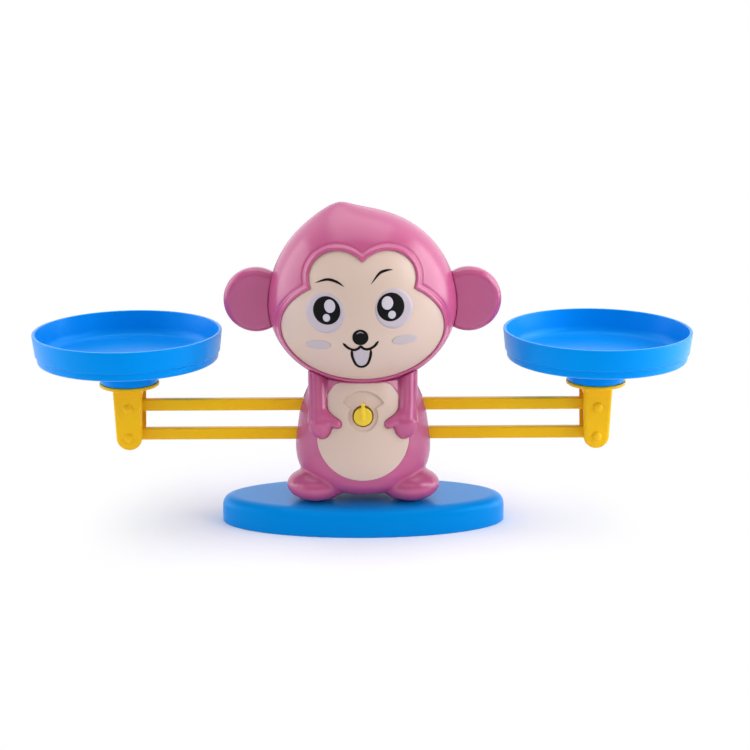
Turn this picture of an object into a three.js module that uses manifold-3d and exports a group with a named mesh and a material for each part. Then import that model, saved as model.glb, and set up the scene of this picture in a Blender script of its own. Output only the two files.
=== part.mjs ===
// Toy balance scale: a seated animal figure on an oval base carries two parallel beams,
// whose ends hold two upright holders with a round pan on each.
// Millimetres, +Z up, the figure faces -Y, origin at the middle of the base's underside.
import * as THREE from 'three';
import { mergeVertices } from 'three/addons/utils/BufferGeometryUtils.js';
import Module from 'manifold-3d';

const wasm = await Module();
wasm.setup();

// Clearances
const GAP = 0.3; // between neighbouring pieces
const SEAT = 0.1; // under a head that bears on a face
const SIDE_PLAY = 0.4; // between a beam's eye and the holder's cheek
const HALF_GAP = GAP / 2; // from the parting plane to each shell

// Balance
const SPAN = 330; // overall width over both pans
const PAN_RADIUS = 47.2; // at the rim
const REACH = SPAN / 2 - PAN_RADIUS; // from the middle to a pan's centre
const UPPER_Z = 61.8; // height of the upper beam's pivot
const BEAM_SPACING = 15.2;
const LOWER_Z = UPPER_Z - BEAM_SPACING;
const SWING = THREE.MathUtils.degToRad(7); // either way from level
const BEAM_HEIGHT = 6;
const BEAM_THICK = 4;
const EYE_RADIUS = 4.2; // round end of a beam
const UPPER_HUB_RADIUS = 4.8;
const LOWER_HUB_RADIUS = 4.8;
const HUB_LENGTH = 8;
const PIN_RADIUS = 1.5;
const PIN_HEAD_RADIUS = 2.6;
const PIN_HEAD_RISE = 0.9;

// Pan
const PAN_RIM_Z = 100.3;
const PAN_HEIGHT = 14.8;
const PAN_WALL = 1.7;
const PAN_FLOOR = 1.8;
const PAN_FLARE = 1.2; // how far the upper wall leans out
const PAN_STEP = 0.8; // ledge between lower and upper wall
const PAN_STEP_HEIGHT = 4; // of the lower wall
const PAN_CORNER = 2.5; // round between floor and lower wall
const BOSS_RADIUS = 14.5; // round foot under a pan
const BOSS_HEIGHT = 11.4;
const PLUG_RADIUS = 12.4; // ring on the holder that fits inside the foot
const PLUG_WALL = 1.8;
const PLUG_HEIGHT = 5;

// Holder
const HOLDER_TOP_WIDTH = 14.8;
const HOLDER_END_RADIUS = 6.5; // round lower end
const HOLDER_DEPTH = 19.5;
const HOLDER_EDGE = 1.6; // round of the long edges
const FLANGE_RADIUS = 15;
const FLANGE_THICK = 1.8;
const FLANGE_TOP_Z = PAN_RIM_Z - PAN_HEIGHT - BOSS_HEIGHT - GAP;
const HOLDER_TOP_Z = FLANGE_TOP_Z - FLANGE_THICK;
const HOLDER_WALL = 2.1; // cheek on each side of the channel
const SLOT_HALF = HOLDER_DEPTH / 2 - HOLDER_WALL; // half the channel that takes the beams' ends
const EYE_HALF = SLOT_HALF - SIDE_PLAY; // half the length of a beam's eye

// Base
const BASE_HALF_LENGTH = 72.3;
const BASE_HALF_DEPTH = 29;
const BASE_HEIGHT = 14;
const BASE_EDGE = 4; // round of the top edge
const BASE_WALL = 2.4;
const RIB_THICK = 1.8;
const RIB_PITCH = 24;

// Figure's body
const STAND_Z = BASE_HEIGHT + GAP; // where the feet and the screw posts stand
const BODY_BOTTOM_Z = STAND_Z + 2.4;
const BODY_WAIST = 34.3; // greatest half-width
const BODY_FRONT = 0.8; // depth to the front as a share of half-width
const BODY_REAR = 0.76;
const BODY_TOP_Z = 81;
const BODY_SIDE = [ // half-width as a share of the waist, height as a share of the body's
  [0.35, 0],
  [0.583, 0.03],
  [0.77, 0.081],
  [0.918, 0.18],
  [1, 0.341],
  [0.977, 0.518],
  [0.883, 0.756],
  [0.749, 0.91],
  [0.656, 1],
];
const BODY_WALL = 3;
const PANEL_THICK = 1.7; // belly and face panels
const PANEL_SEAT = PANEL_THICK + GAP; // depth of the recess that holds a panel

// Head
const HEAD_Z = 113.5; // height of the widest section
const HEAD_HALF_WIDTH = 47.1;
const HEAD_RISE = 47;
const HEAD_DROP = 41;
const HEAD_FRONT = 36;
const HEAD_REAR = 33;
const HEAD_WALL = 3;
const CREST_X = -11.8; // tuft on the crown, left of the middle
const CREST_TOP_Z = 165;
const CREST_FOOT_Z = 146;
const CREST_FOOT_RADIUS = 23;
const EAR_X = 53;
const EAR_Z = 116;
const EAR_RADIUS = 16.2;
const EAR_THICK = 9;
const EAR_EDGE = 3;
const EAR_TAB_X = EAR_X - 14; // inner end of the tab inside the head
const EAR_TAB_HALF = 5.5; // half-height of the tab's neck
const EAR_TAB_FOOT = 8; // half-height of its wider inner end
const EAR_TAB_FOOT_DEPTH = 2.4;
const EAR_TAB_THICK = 4;

// Face panel outline
const CHEEK_Z = 106;
const CHEEK_HALF_WIDTH = 40.1;
const CHEEK_RISE = 27;
const CHEEK_DROP = 26.3;
const LOBE_X = 11.5;
const LOBE_Z = 132.2;
const LOBE_HALF_WIDTH = 14.5;
const LOBE_HALF_HEIGHT = 13;

// Belly panel outline and dial
const BELLY_Z = 50;
const BELLY_HALF_WIDTH = 22.6;
const BELLY_RISE = 32.6;
const BELLY_DROP = 20.7;
const BELLY_TOP_Z = 76;
const DIAL_RADIUS = 7.3;
const FAN_RADIUS = 12.1;
const FAN_HALF_ANGLE = THREE.MathUtils.degToRad(58);
const DIAL_DEPTH = 0.9;
const KNOB_RADIUS = 4.6;
const KNOB_HOLE_RADIUS = KNOB_RADIUS + 0.4;
const KNOB_FRONT_Y = -25.4;
const KNOB_BACK_Y = -22.6;
const POINTER_LENGTH = 7.4;
const POINTER_WIDTH = 1.8;
const POINTER_RISE = 0.9;
const SHAFT_RADIUS = 3;
const AXLE_RADIUS = 2;
const BEARING_FRONT_Y = -16; // inner ends of the bearing posts
const BEARING_REAR_Y = 12;
const BEARING_DEPTH = 5;
const WEIGHT_RADIUS = 11;
const WEIGHT_HALF_ANGLE = THREE.MathUtils.degToRad(60); // leaves room under the neck when turned
const WEIGHT_THICK = 5;
const WEIGHT_HUB_WALL = 2; // round the shaft
const WEIGHT_Y = 8;

// Neck
const NECK_RADIUS = 7.3;
const NECK_FLANGE_RADIUS = 10.5;
const NECK_FLANGE_THICK = 1.6;
const NECK_LOW_Z = HEAD_Z - HEAD_DROP - BODY_WALL - 2 * GAP; // under the clamped walls
const NECK_DIP = Math.sqrt(1 - (NECK_FLANGE_RADIUS / (HEAD_REAR - HEAD_WALL)) ** 2);
const NECK_HIGH_Z = HEAD_Z - (HEAD_DROP - HEAD_WALL) * NECK_DIP + GAP; // above the clamped walls

// Limbs
const ARM_RADIUS = 4.1;
const SHOULDER = [22.6, -13, 79]; // places on the figure's left, mirrored for its right
const WRIST = [22.4, -16.8, 61];
const HAND = [20.4, -19.8, 55.6];
const HAND_RADIUS = 5.3;
const HAND_STRETCH = 0.6; // taller than wide
const THUMB_ROOT = [18.9, -21.2, 60.8];
const THUMB_TIP = [12.8, -23.8, 58.2];
const THUMB_RADIUS = 2.5;
const FOOT_X = 23.6;
const FOOT_Y = -9;
const FOOT_CUT = 0.8; // taken off underneath to stand flat
const FOOT_HALF_LENGTH = 15;
const FOOT_HALF_DEPTH = 14.5;
const FOOT_HALF_HEIGHT = 8.5;

// Screws
const SCREW_RADIUS = 1.2;
const SCREW_HEAD_RADIUS = 2.8;
const SCREW_HEAD_THICK = 1.8;
const SCREW_LENGTH = 16;
const SHELF = 6; // wall that a screw head bears on
const SCREW_POST_RADIUS = 3.6;
const DRIVER_RADIUS = SCREW_HEAD_RADIUS + GAP;
const BODY_SCREWS = [[-21, 70], [21, 70], [-21, 27], [21, 27]];
const HEAD_SCREWS = [[-26, 97], [26, 97], [0, 147]];
const BASE_SCREWS = [[-10, -6.5], [10, -6.5], [-10, 6.5], [10, 6.5]];

// Materials
const gloss = { roughness: 0.25, metalness: 0 };
const pink = new THREE.MeshStandardMaterial({ color: 0xcc6f9d, ...gloss });
const cream = new THREE.MeshStandardMaterial({ color: 0xdcc7b4, ...gloss });
const blue = new THREE.MeshStandardMaterial({ color: 0x0a86e0, ...gloss });
const yellow = new THREE.MeshStandardMaterial({ color: 0xe6b428, ...gloss });
const steel = new THREE.MeshStandardMaterial({ color: 0xb8babd, roughness: 0.35, metalness: 1 });

// A closed solid from a geometry, with seams joined, empty triangles left out and faces outward
function solid(geometry) {
  geometry.deleteAttribute('normal');
  geometry.deleteAttribute('uv');
  const merged = mergeVertices(geometry, 1e-4);
  const points = merged.attributes.position;
  const index = merged.index.array;
  const corners = [new THREE.Vector3(), new THREE.Vector3(), new THREE.Vector3()];
  const kept = [];
  let volume = 0;
  for (let i = 0; i < index.length; i += 3) {
    const [a, b, c] = [index[i], index[i + 1], index[i + 2]];
    if (a === b || b === c || c === a) continue;
    kept.push([a, b, c]);
    [a, b, c].forEach((vertex, k) => corners[k].fromBufferAttribute(points, vertex));
    volume += corners[0].dot(corners[1].clone().cross(corners[2]));
  }
  const triVerts = kept.flatMap(([a, b, c]) => (volume < 0 ? [a, c, b] : [a, b, c]));
  return new wasm.Manifold(new wasm.Mesh({
    numProp: 3,
    vertProperties: new Float32Array(points.array),
    triVerts: new Uint32Array(triVerts),
  }));
}

function box(x0, x1, y0, y1, z0, z1) {
  const shape = new THREE.BoxGeometry(x1 - x0, y1 - y0, z1 - z0);
  shape.translate((x0 + x1) / 2, (y0 + y1) / 2, (z0 + z1) / 2);
  return solid(shape);
}

// Round bar along Y
function rodY(radius, y0, y1, x, z, sides = 20) {
  const shape = new THREE.CylinderGeometry(radius, radius, y1 - y0, sides);
  shape.translate(x, (y0 + y1) / 2, z);
  return solid(shape);
}

// Round bar along Z
function rodZ(radius, z0, z1, x, y, sides = 20) {
  const shape = new THREE.CylinderGeometry(radius, radius, z1 - z0, sides);
  shape.rotateX(Math.PI / 2);
  shape.translate(x, y, (z0 + z1) / 2);
  return solid(shape);
}

// Body of revolution about Z from [radius, height] points
function latheZ(points, sides) {
  const shape = new THREE.LatheGeometry(points.map(([r, z]) => new THREE.Vector2(r, z)), sides);
  shape.rotateX(Math.PI / 2);
  return shape;
}

// Outline in X and Z pushed along Y
function prismY(outline, y0, y1) {
  const shape = new THREE.ExtrudeGeometry(outline, { depth: y1 - y0, bevelEnabled: false, curveSegments: 24 });
  shape.rotateX(Math.PI / 2);
  shape.translate(0, y1, 0);
  return solid(shape);
}

// Closed oval with its own rise and drop about a centre
function oval(x, z, halfWidth, rise, drop, points = 40) {
  const outline = [];
  for (let i = 0; i < points; i += 1) {
    const turn = (2 * Math.PI * i) / points;
    const height = Math.sin(turn);
    outline.push(new THREE.Vector2(x + halfWidth * Math.cos(turn), z + height * (height > 0 ? rise : drop)));
  }
  return new THREE.Shape(outline);
}

// Ball with its own half-sizes
function ball(radii, centre, wide = 14, high = 8) {
  const shape = new THREE.SphereGeometry(1, wide, high);
  shape.scale(...radii);
  shape.translate(...centre);
  return solid(shape);
}

// Round-ended limb between two points
function limb(from, to, radius) {
  const start = new THREE.Vector3(...from);
  const end = new THREE.Vector3(...to);
  const shape = new THREE.CapsuleGeometry(radius, start.distanceTo(end), 2, 12);
  const way = end.clone().sub(start).normalize();
  shape.applyQuaternion(new THREE.Quaternion().setFromUnitVectors(new THREE.Vector3(0, 1, 0), way));
  const middle = start.add(end).multiplyScalar(0.5);
  shape.translate(middle.x, middle.y, middle.z);
  return solid(shape);
}

function join(...solids) {
  return solids.reduce((sum, next) => sum.add(next));
}

function cut(from, ...solids) {
  return solids.reduce((rest, next) => rest.subtract(next), from);
}

const FAR = 2 * SPAN;
const frontSide = box(-FAR, FAR, -FAR, -HALF_GAP, -FAR, FAR);
const rearSide = box(-FAR, FAR, HALF_GAP, FAR, -FAR, FAR);

// Head as one rounded form, grown or shrunk
function headForm(grow) {
  const shape = new THREE.SphereGeometry(1, 28, 18);
  shape.rotateX(Math.PI / 2);
  const points = shape.attributes.position;
  for (let i = 0; i < points.count; i += 1) {
    const [x, y, z] = [points.getX(i), points.getY(i), points.getZ(i)];
    const depth = (y < 0 ? HEAD_FRONT : HEAD_REAR) + grow;
    const height = (z > 0 ? HEAD_RISE : HEAD_DROP) + grow;
    points.setXYZ(i, x * (HEAD_HALF_WIDTH + grow), y * depth, HEAD_Z + z * height);
  }
  return solid(shape);
}

// Body as one pear-shaped form, shrunk by an inset
function bodyForm(inset) {
  const tall = BODY_TOP_Z - BODY_BOTTOM_Z;
  const side = new THREE.SplineCurve(BODY_SIDE.map(([width, height]) => (
    new THREE.Vector2(BODY_WAIST * width - inset, BODY_BOTTOM_Z + tall * height)
  )));
  const profile = side.getPoints(16).map((p) => [p.x, p.y]);
  const low = BODY_BOTTOM_Z + inset;
  const wall = profile.filter(([, z]) => z > low + 1 && z < BODY_TOP_Z - inset);
  const points = [[0, low], [BODY_WAIST * BODY_SIDE[0][0], low], ...wall, [0, BODY_TOP_Z - inset]];
  points.splice(points.length - 1, 0, [wall[wall.length - 1][0], BODY_TOP_Z - inset]);
  const shape = latheZ(points, 28);
  const at = shape.attributes.position;
  for (let i = 0; i < at.count; i += 1) {
    at.setY(i, at.getY(i) * (at.getY(i) < 0 ? BODY_FRONT : BODY_REAR));
  }
  return solid(shape);
}

const head = headForm(0);
const headRoom = headForm(GAP);
const headCavity = headForm(-HEAD_WALL);
const body = bodyForm(0);
const bodyCavity = cut(bodyForm(BODY_WALL), headForm(GAP + BODY_WALL));

// Screw posts of a front and a rear shell, kept inside the form
function frontPosts(places, form) {
  const posts = places.map(([x, z]) => rodY(SCREW_POST_RADIUS, -FAR, 0, x, z, 12));
  return join(...posts).intersect(form);
}

function rearPosts(places, form) {
  const posts = places.map(([x, z]) => rodY(DRIVER_RADIUS + 1.4, 0, FAR, x, z, 12));
  return join(...posts).intersect(form);
}

function screwHolesY(places) {
  const holes = places.map(([x, z]) => join(
    rodY(SCREW_RADIUS + GAP, SHELF - SCREW_LENGTH - 1, SHELF + 1, x, z, 12),
    rodY(DRIVER_RADIUS, SHELF, FAR, x, z, 12),
  ));
  return join(...holes);
}

// Screw along Y with a cross recess, its head towards +Y and its tip at the origin's -Y side
function screwForm() {
  const stem = rodY(SCREW_RADIUS, -SCREW_LENGTH, 0.5, 0, 0, 8);
  const cap = rodY(SCREW_HEAD_RADIUS, SEAT, SEAT + SCREW_HEAD_THICK, 0, 0, 14);
  const depth = SEAT + SCREW_HEAD_THICK * 0.45;
  const cross = join(
    box(-1.6, 1.6, depth, SCREW_HEAD_THICK + 1, -0.35, 0.35),
    box(-0.35, 0.35, depth, SCREW_HEAD_THICK + 1, -1.6, 1.6),
  );
  return cut(join(stem, cap), cross);
}

function screwY([x, z]) {
  return screwForm().translate([x, SHELF, z]);
}

// Base: oval plate with a rounded top edge, open and ribbed underneath
function ovalPlate(inset, z0, z1, edge) {
  const steps = edge > 0 ? 4 : 0;
  const rings = [[0, z0]];
  for (let i = 0; i <= steps; i += 1) {
    const turn = steps > 0 ? (i / steps) * (Math.PI / 2) : 0;
    rings.push([edge * (1 - Math.cos(turn)), z1 - edge * (1 - Math.sin(turn))]);
  }
  const shape = latheZ([[0, z0], ...rings.map(([step, z]) => [BASE_HALF_LENGTH - step, z]), [0, z1]], 48);
  const at = shape.attributes.position;
  for (let i = 0; i < at.count; i += 1) {
    const radius = Math.hypot(at.getX(i), at.getY(i));
    if (radius < 1e-6) continue;
    const step = BASE_HALF_LENGTH - radius + inset;
    at.setX(i, (at.getX(i) / radius) * (BASE_HALF_LENGTH - step));
    at.setY(i, (at.getY(i) / radius) * (BASE_HALF_DEPTH - step));
  }
  return solid(shape);
}

const SCREW_SEAT_Z = SHELF; // underside of the base's screw bosses
function makeBase() {
  const outer = ovalPlate(0, 0, BASE_HEIGHT, BASE_EDGE);
  const hollow = ovalPlate(BASE_WALL, -1, BASE_HEIGHT - BASE_WALL, 0);
  const inside = ovalPlate(BASE_WALL / 2, 0, BASE_HEIGHT - BASE_WALL / 2, 0);
  const half = RIB_THICK / 2;
  const ribs = [box(-FAR, FAR, -half, half, 0, BASE_HEIGHT - 1)];
  for (let x = -2.5 * RIB_PITCH; x < 3 * RIB_PITCH; x += RIB_PITCH) {
    ribs.push(box(x - half, x + half, -FAR, FAR, 0, BASE_HEIGHT - 1));
  }
  const bosses = BASE_SCREWS.map(([x, y]) => rodZ(DRIVER_RADIUS + 1.4, SCREW_SEAT_Z, BASE_HEIGHT - 1, x, y, 12));
  const holes = BASE_SCREWS.map(([x, y]) => join(
    rodZ(SCREW_RADIUS + GAP, 0, BASE_HEIGHT + 1, x, y, 12),
    rodZ(DRIVER_RADIUS, -1, SCREW_SEAT_Z, x, y, 12),
  ));
  const fins = join(...ribs).intersect(inside);
  return cut(join(cut(outer, hollow), fins, ...bosses), ...holes);
}

function makeBaseScrew([x, y]) {
  return screwForm().rotate([-90, 0, 0]).translate([x, y, SCREW_SEAT_Z]);
}

// Body shells
const bellyOutline = oval(0, BELLY_Z, BELLY_HALF_WIDTH, BELLY_RISE, BELLY_DROP);
const bellyTop = box(-FAR, FAR, -FAR, FAR, BELLY_TOP_Z, FAR);
const bellyPlug = cut(prismY(bellyOutline, -FAR, -8), bellyTop);
const bellySeatTop = box(-FAR, FAR, -FAR, FAR, BELLY_TOP_Z + GAP, FAR);
const bellySeatOutline = oval(
  0,
  BELLY_Z,
  BELLY_HALF_WIDTH + GAP,
  BELLY_RISE + GAP,
  BELLY_DROP + GAP,
);
const bellySeat = cut(prismY(bellySeatOutline, -FAR, -8), bellySeatTop);

// Openings at the sides that let both beams swing
const slotReach = (BODY_WAIST * Math.tan(SWING)) + BEAM_HEIGHT / 2 + 0.8;
const beamSlots = box(
  -FAR,
  FAR,
  -BEAM_THICK / 2 - 1,
  BEAM_THICK / 2 + 1,
  LOWER_Z - slotReach,
  UPPER_Z + slotReach,
);
const neckHole = rodZ(NECK_RADIUS + GAP, BELLY_Z + 15, HEAD_Z, 0, 0, 32);

// Arm, hand and thumb of one side, side -1 or 1, grown by a margin
function makeArm(side, grow = 0) {
  const at = ([x, y, z]) => [side * x, y, z];
  const palm = HAND_RADIUS + grow;
  return join(
    limb(at(SHOULDER), at(WRIST), ARM_RADIUS + grow),
    ball([palm, palm, palm + HAND_STRETCH], at(HAND)),
    limb(at(THUMB_ROOT), at(THUMB_TIP), THUMB_RADIUS + grow),
  );
}

function makeFoot(side) {
  const foot = ball(
    [FOOT_HALF_LENGTH, FOOT_HALF_DEPTH, FOOT_HALF_HEIGHT],
    [side * FOOT_X, FOOT_Y, STAND_Z + FOOT_HALF_HEIGHT - FOOT_CUT],
    18,
    10,
  );
  const ground = box(-FAR, FAR, -FAR, FAR, -FAR, STAND_Z);
  return cut(foot, ground);
}

function basePosts(places) {
  return join(...places.map(([x, y]) => rodZ(4, STAND_Z, STAND_Z + 12, x, y, 12)));
}

const basePilots = join(...BASE_SCREWS.map(([x, y]) => (
  rodZ(SCREW_RADIUS + GAP, 0, SCREW_SEAT_Z + SCREW_LENGTH + 1, x, y, 12)
)));
const bellyFloor = bodyForm(PANEL_SEAT);
const wallMiddle = bodyForm(BODY_WALL - 0.5);

function makeBodyFront() {
  const limbs = join(makeArm(-1), makeArm(1), makeFoot(-1), makeFoot(1));
  const posts = join(
    frontPosts(BODY_SCREWS, wallMiddle),
    basePosts(BASE_SCREWS.filter(([, y]) => y < 0)),
    join(
      rodY(SHAFT_RADIUS + 2.5, -FAR, BEARING_FRONT_Y, 0, UPPER_Z),
      rodY(AXLE_RADIUS + 2.5, -FAR, BEARING_FRONT_Y, 0, LOWER_Z),
    ).intersect(wallMiddle),
  );
  const recessed = cut(body, cut(bellySeat, bellyFloor));
  const skin = cut(join(recessed, limbs), bodyCavity);
  const holes = join(
    rodY(SHAFT_RADIUS + GAP, -FAR, 0, 0, UPPER_Z),
    rodY(KNOB_HOLE_RADIUS, -FAR, KNOB_BACK_Y + GAP, 0, UPPER_Z),
    rodY(AXLE_RADIUS + GAP, BEARING_FRONT_Y - BEARING_DEPTH, 0, 0, LOWER_Z),
    screwHolesY(BODY_SCREWS),
    basePilots,
  );
  return cut(join(skin, posts), holes, beamSlots, headRoom, neckHole).intersect(frontSide);
}

function makeBodyRear() {
  const bearings = join(
    rodY(SHAFT_RADIUS + 2.5, BEARING_REAR_Y, FAR, 0, UPPER_Z),
    rodY(AXLE_RADIUS + 2.5, BEARING_REAR_Y, FAR, 0, LOWER_Z),
  ).intersect(wallMiddle);
  const posts = join(
    rearPosts(BODY_SCREWS, wallMiddle),
    basePosts(BASE_SCREWS.filter(([, y]) => y > 0)),
    bearings,
  );
  const holes = join(
    rodY(SHAFT_RADIUS + GAP, 0, BEARING_REAR_Y + BEARING_DEPTH, 0, UPPER_Z),
    rodY(AXLE_RADIUS + GAP, 0, BEARING_REAR_Y + BEARING_DEPTH, 0, LOWER_Z),
    screwHolesY(BODY_SCREWS),
    basePilots,
  );
  const skin = cut(body, bodyCavity);
  return cut(join(skin, posts), holes, beamSlots, headRoom, neckHole).intersect(rearSide);
}

// Dial: a round recess with a fan above it, around the knob
function dialOutline() {
  const outline = new THREE.Shape();
  const high = Math.PI / 2;
  outline.moveTo(0, UPPER_Z);
  outline.absarc(0, UPPER_Z, FAN_RADIUS, high - FAN_HALF_ANGLE, high + FAN_HALF_ANGLE, false);
  outline.lineTo(0, UPPER_Z);
  return outline;
}

function makeBellyPanel() {
  const layer = cut(body, bodyForm(PANEL_THICK)).intersect(bellyPlug);
  const dial = cut(
    join(prismY(dialOutline(), -FAR, 0), rodY(DIAL_RADIUS, -FAR, 0, 0, UPPER_Z, 32)),
    bodyForm(DIAL_DEPTH),
  );
  const armRoom = join(makeArm(-1, GAP), makeArm(1, GAP));
  return cut(layer, dial, rodY(KNOB_HOLE_RADIUS, -FAR, 0, 0, UPPER_Z), armRoom, headRoom);
}

// Neck: spool that the shells clamp, one flange in the head and one in the body
function makeNeck() {
  const top = NECK_HIGH_Z + NECK_FLANGE_THICK;
  const bottom = NECK_LOW_Z - NECK_FLANGE_THICK;
  return solid(latheZ([
    [0, bottom],
    [NECK_FLANGE_RADIUS, bottom],
    [NECK_FLANGE_RADIUS, NECK_LOW_Z],
    [NECK_RADIUS, NECK_LOW_Z],
    [NECK_RADIUS, NECK_HIGH_Z],
    [NECK_FLANGE_RADIUS, NECK_HIGH_Z],
    [NECK_FLANGE_RADIUS, top],
    [0, top],
  ], 32));
}

// Head shells
function makeCrest() {
  const rise = CREST_TOP_Z - CREST_FOOT_Z;
  const shape = latheZ([
    [0, CREST_FOOT_Z],
    [CREST_FOOT_RADIUS, CREST_FOOT_Z],
    [CREST_FOOT_RADIUS * 0.57, CREST_FOOT_Z + rise * 0.56],
    [CREST_FOOT_RADIUS * 0.28, CREST_FOOT_Z + rise * 0.86],
    [CREST_FOOT_RADIUS * 0.12, CREST_FOOT_Z + rise * 0.97],
    [0, CREST_TOP_Z],
  ], 24);
  shape.translate(CREST_X, 0, 0);
  return solid(shape);
}

function facePlug(grow) {
  const cheeks = oval(0, CHEEK_Z, CHEEK_HALF_WIDTH + grow, CHEEK_RISE + grow, CHEEK_DROP + grow, 48);
  const lobes = [-LOBE_X, LOBE_X].map((x) => (
    oval(x, LOBE_Z, LOBE_HALF_WIDTH + grow, LOBE_HALF_HEIGHT + grow, LOBE_HALF_HEIGHT + grow, 32)
  ));
  return join(...[cheeks, ...lobes].map((outline) => prismY(outline, -FAR, -2)));
}

function earSlot(side) {
  const near = side * (HEAD_HALF_WIDTH - HEAD_WALL - 4);
  const far = side * (HEAD_HALF_WIDTH + 4);
  const half = EAR_TAB_THICK / 2 + GAP;
  const tall = EAR_TAB_HALF + GAP;
  return box(Math.min(near, far), Math.max(near, far), -half, half, EAR_Z - tall, EAR_Z + tall);
}

const headShell = cut(join(head, makeCrest()), headCavity, earSlot(-1), earSlot(1), neckHole);
const headMiddle = headForm(-HEAD_WALL + 0.5);

function makeHeadFront() {
  const seat = cut(facePlug(GAP), headForm(-PANEL_SEAT));
  const whole = cut(join(headShell, frontPosts(HEAD_SCREWS, headMiddle)), screwHolesY(HEAD_SCREWS), seat);
  return whole.intersect(frontSide);
}

function makeHeadRear() {
  const whole = cut(join(headShell, rearPosts(HEAD_SCREWS, headMiddle)), screwHolesY(HEAD_SCREWS));
  return whole.intersect(rearSide);
}

function makeFacePanel() {
  return cut(head, headForm(-PANEL_THICK)).intersect(facePlug(0));
}

// Ear: thick round disc with a tab that the head shells hold
function makeEar(side) {
  const half = EAR_THICK / 2;
  const profile = [[0, -half]];
  for (let i = 0; i <= 3; i += 1) {
    const turn = (i / 3) * (Math.PI / 2);
    profile.push([EAR_RADIUS - EAR_EDGE * (1 - Math.sin(turn)), -half + EAR_EDGE * (1 - Math.cos(turn))]);
  }
  const mirrored = profile.map(([r, y]) => [r, -y]).reverse();
  const disc = new THREE.LatheGeometry([...profile, ...mirrored].map(([r, y]) => new THREE.Vector2(r, y)), 36);
  disc.translate(side * EAR_X, 0, EAR_Z);
  const tab = (x0, x1, tall) => {
    const near = Math.min(side * x0, side * x1);
    const far = Math.max(side * x0, side * x1);
    return box(near, far, -EAR_TAB_THICK / 2, EAR_TAB_THICK / 2, EAR_Z - tall, EAR_Z + tall);
  };
  return join(
    cut(solid(disc), headRoom),
    tab(EAR_TAB_X, EAR_X, EAR_TAB_HALF),
    tab(EAR_TAB_X, EAR_TAB_X + EAR_TAB_FOOT_DEPTH, EAR_TAB_FOOT),
  );
}

// Beam: straight bar with a hub in the middle and an eye at each end
function makeBeam(z, hubRadius, bore) {
  const half = BEAM_THICK / 2;
  const bar = box(-REACH, REACH, -half, half, z - BEAM_HEIGHT / 2, z + BEAM_HEIGHT / 2);
  const eyes = [-REACH, REACH].map((x) => rodY(EYE_RADIUS, -EYE_HALF, EYE_HALF, x, z, 20));
  const hub = rodY(hubRadius, -HUB_LENGTH / 2, HUB_LENGTH / 2, 0, z);
  const holes = [-REACH, REACH].map((x) => rodY(PIN_RADIUS + GAP, -FAR, FAR, x, z, 12));
  return cut(join(bar, hub, ...eyes), ...holes, rodY(bore + GAP, -FAR, FAR, 0, z));
}

// Knob with its pointer, on the shaft that the upper beam turns with
function makeKnob() {
  const half = POINTER_WIDTH / 2;
  return join(
    rodY(KNOB_RADIUS, KNOB_FRONT_Y, KNOB_BACK_Y, 0, UPPER_Z, 32),
    box(
      -half,
      half,
      KNOB_FRONT_Y - POINTER_RISE,
      KNOB_FRONT_Y + POINTER_RISE,
      UPPER_Z - 1.5,
      UPPER_Z + POINTER_LENGTH,
    ),
    rodY(SHAFT_RADIUS, KNOB_BACK_Y - 1, BEARING_REAR_Y + BEARING_DEPTH - GAP, 0, UPPER_Z),
  );
}

// Fan-shaped weight under the shaft
function makeWeight() {
  const outline = new THREE.Shape();
  const down = 1.5 * Math.PI;
  outline.moveTo(0, UPPER_Z);
  outline.absarc(0, UPPER_Z, WEIGHT_RADIUS, down - WEIGHT_HALF_ANGLE, down + WEIGHT_HALF_ANGLE, false);
  outline.lineTo(0, UPPER_Z);
  const y0 = WEIGHT_Y - WEIGHT_THICK / 2;
  const y1 = WEIGHT_Y + WEIGHT_THICK / 2;
  const fan = join(prismY(outline, y0, y1), rodY(SHAFT_RADIUS + WEIGHT_HUB_WALL, y0, y1, 0, UPPER_Z));
  return cut(fan, rodY(SHAFT_RADIUS + GAP, -FAR, FAR, 0, UPPER_Z));
}

// Holder: tapering upright, slotted towards the figure, with a flange and plug for the pan
function makeHolder(side) {
  const half = HOLDER_TOP_WIDTH / 2;
  const outline = new THREE.Shape();
  const over = HOLDER_TOP_Z + HOLDER_EDGE + 1;
  outline.moveTo(half, over);
  outline.lineTo(-half, over);
  outline.lineTo(-HOLDER_END_RADIUS, LOWER_Z);
  outline.absarc(0, LOWER_Z, HOLDER_END_RADIUS, Math.PI, 2 * Math.PI, false);
  const upright = new THREE.ExtrudeGeometry(outline, {
    depth: HOLDER_DEPTH - 2 * HOLDER_EDGE,
    bevelSize: HOLDER_EDGE,
    bevelThickness: HOLDER_EDGE,
    bevelOffset: -HOLDER_EDGE,
    bevelSegments: 2,
    curveSegments: 7,
  });
  upright.rotateX(Math.PI / 2);
  upright.translate(0, HOLDER_DEPTH / 2 - HOLDER_EDGE, 0);
  const slot = box(-FAR, EYE_RADIUS + 0.6, -SLOT_HALF, SLOT_HALF, LOWER_Z - EYE_RADIUS - 0.6, UPPER_Z + 7);
  const holes = [UPPER_Z, LOWER_Z].map((z) => rodY(PIN_RADIUS + GAP, -FAR, FAR, 0, z, 16));
  const whole = cut(
    join(
      cut(solid(upright), box(-FAR, FAR, -FAR, FAR, HOLDER_TOP_Z + FLANGE_THICK / 2, FAR)),
      rodZ(FLANGE_RADIUS, HOLDER_TOP_Z, FLANGE_TOP_Z, 0, 0, 28),
      cut(
        rodZ(PLUG_RADIUS, FLANGE_TOP_Z - 1, FLANGE_TOP_Z + PLUG_HEIGHT, 0, 0, 28),
        rodZ(PLUG_RADIUS - PLUG_WALL, FLANGE_TOP_Z, FAR, 0, 0, 28),
      ),
    ),
    slot,
    ...holes,
  );
  const facing = side < 0 ? whole.rotate([0, 0, 180]) : whole;
  return facing.translate([side * REACH, 0, 0]);
}

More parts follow.
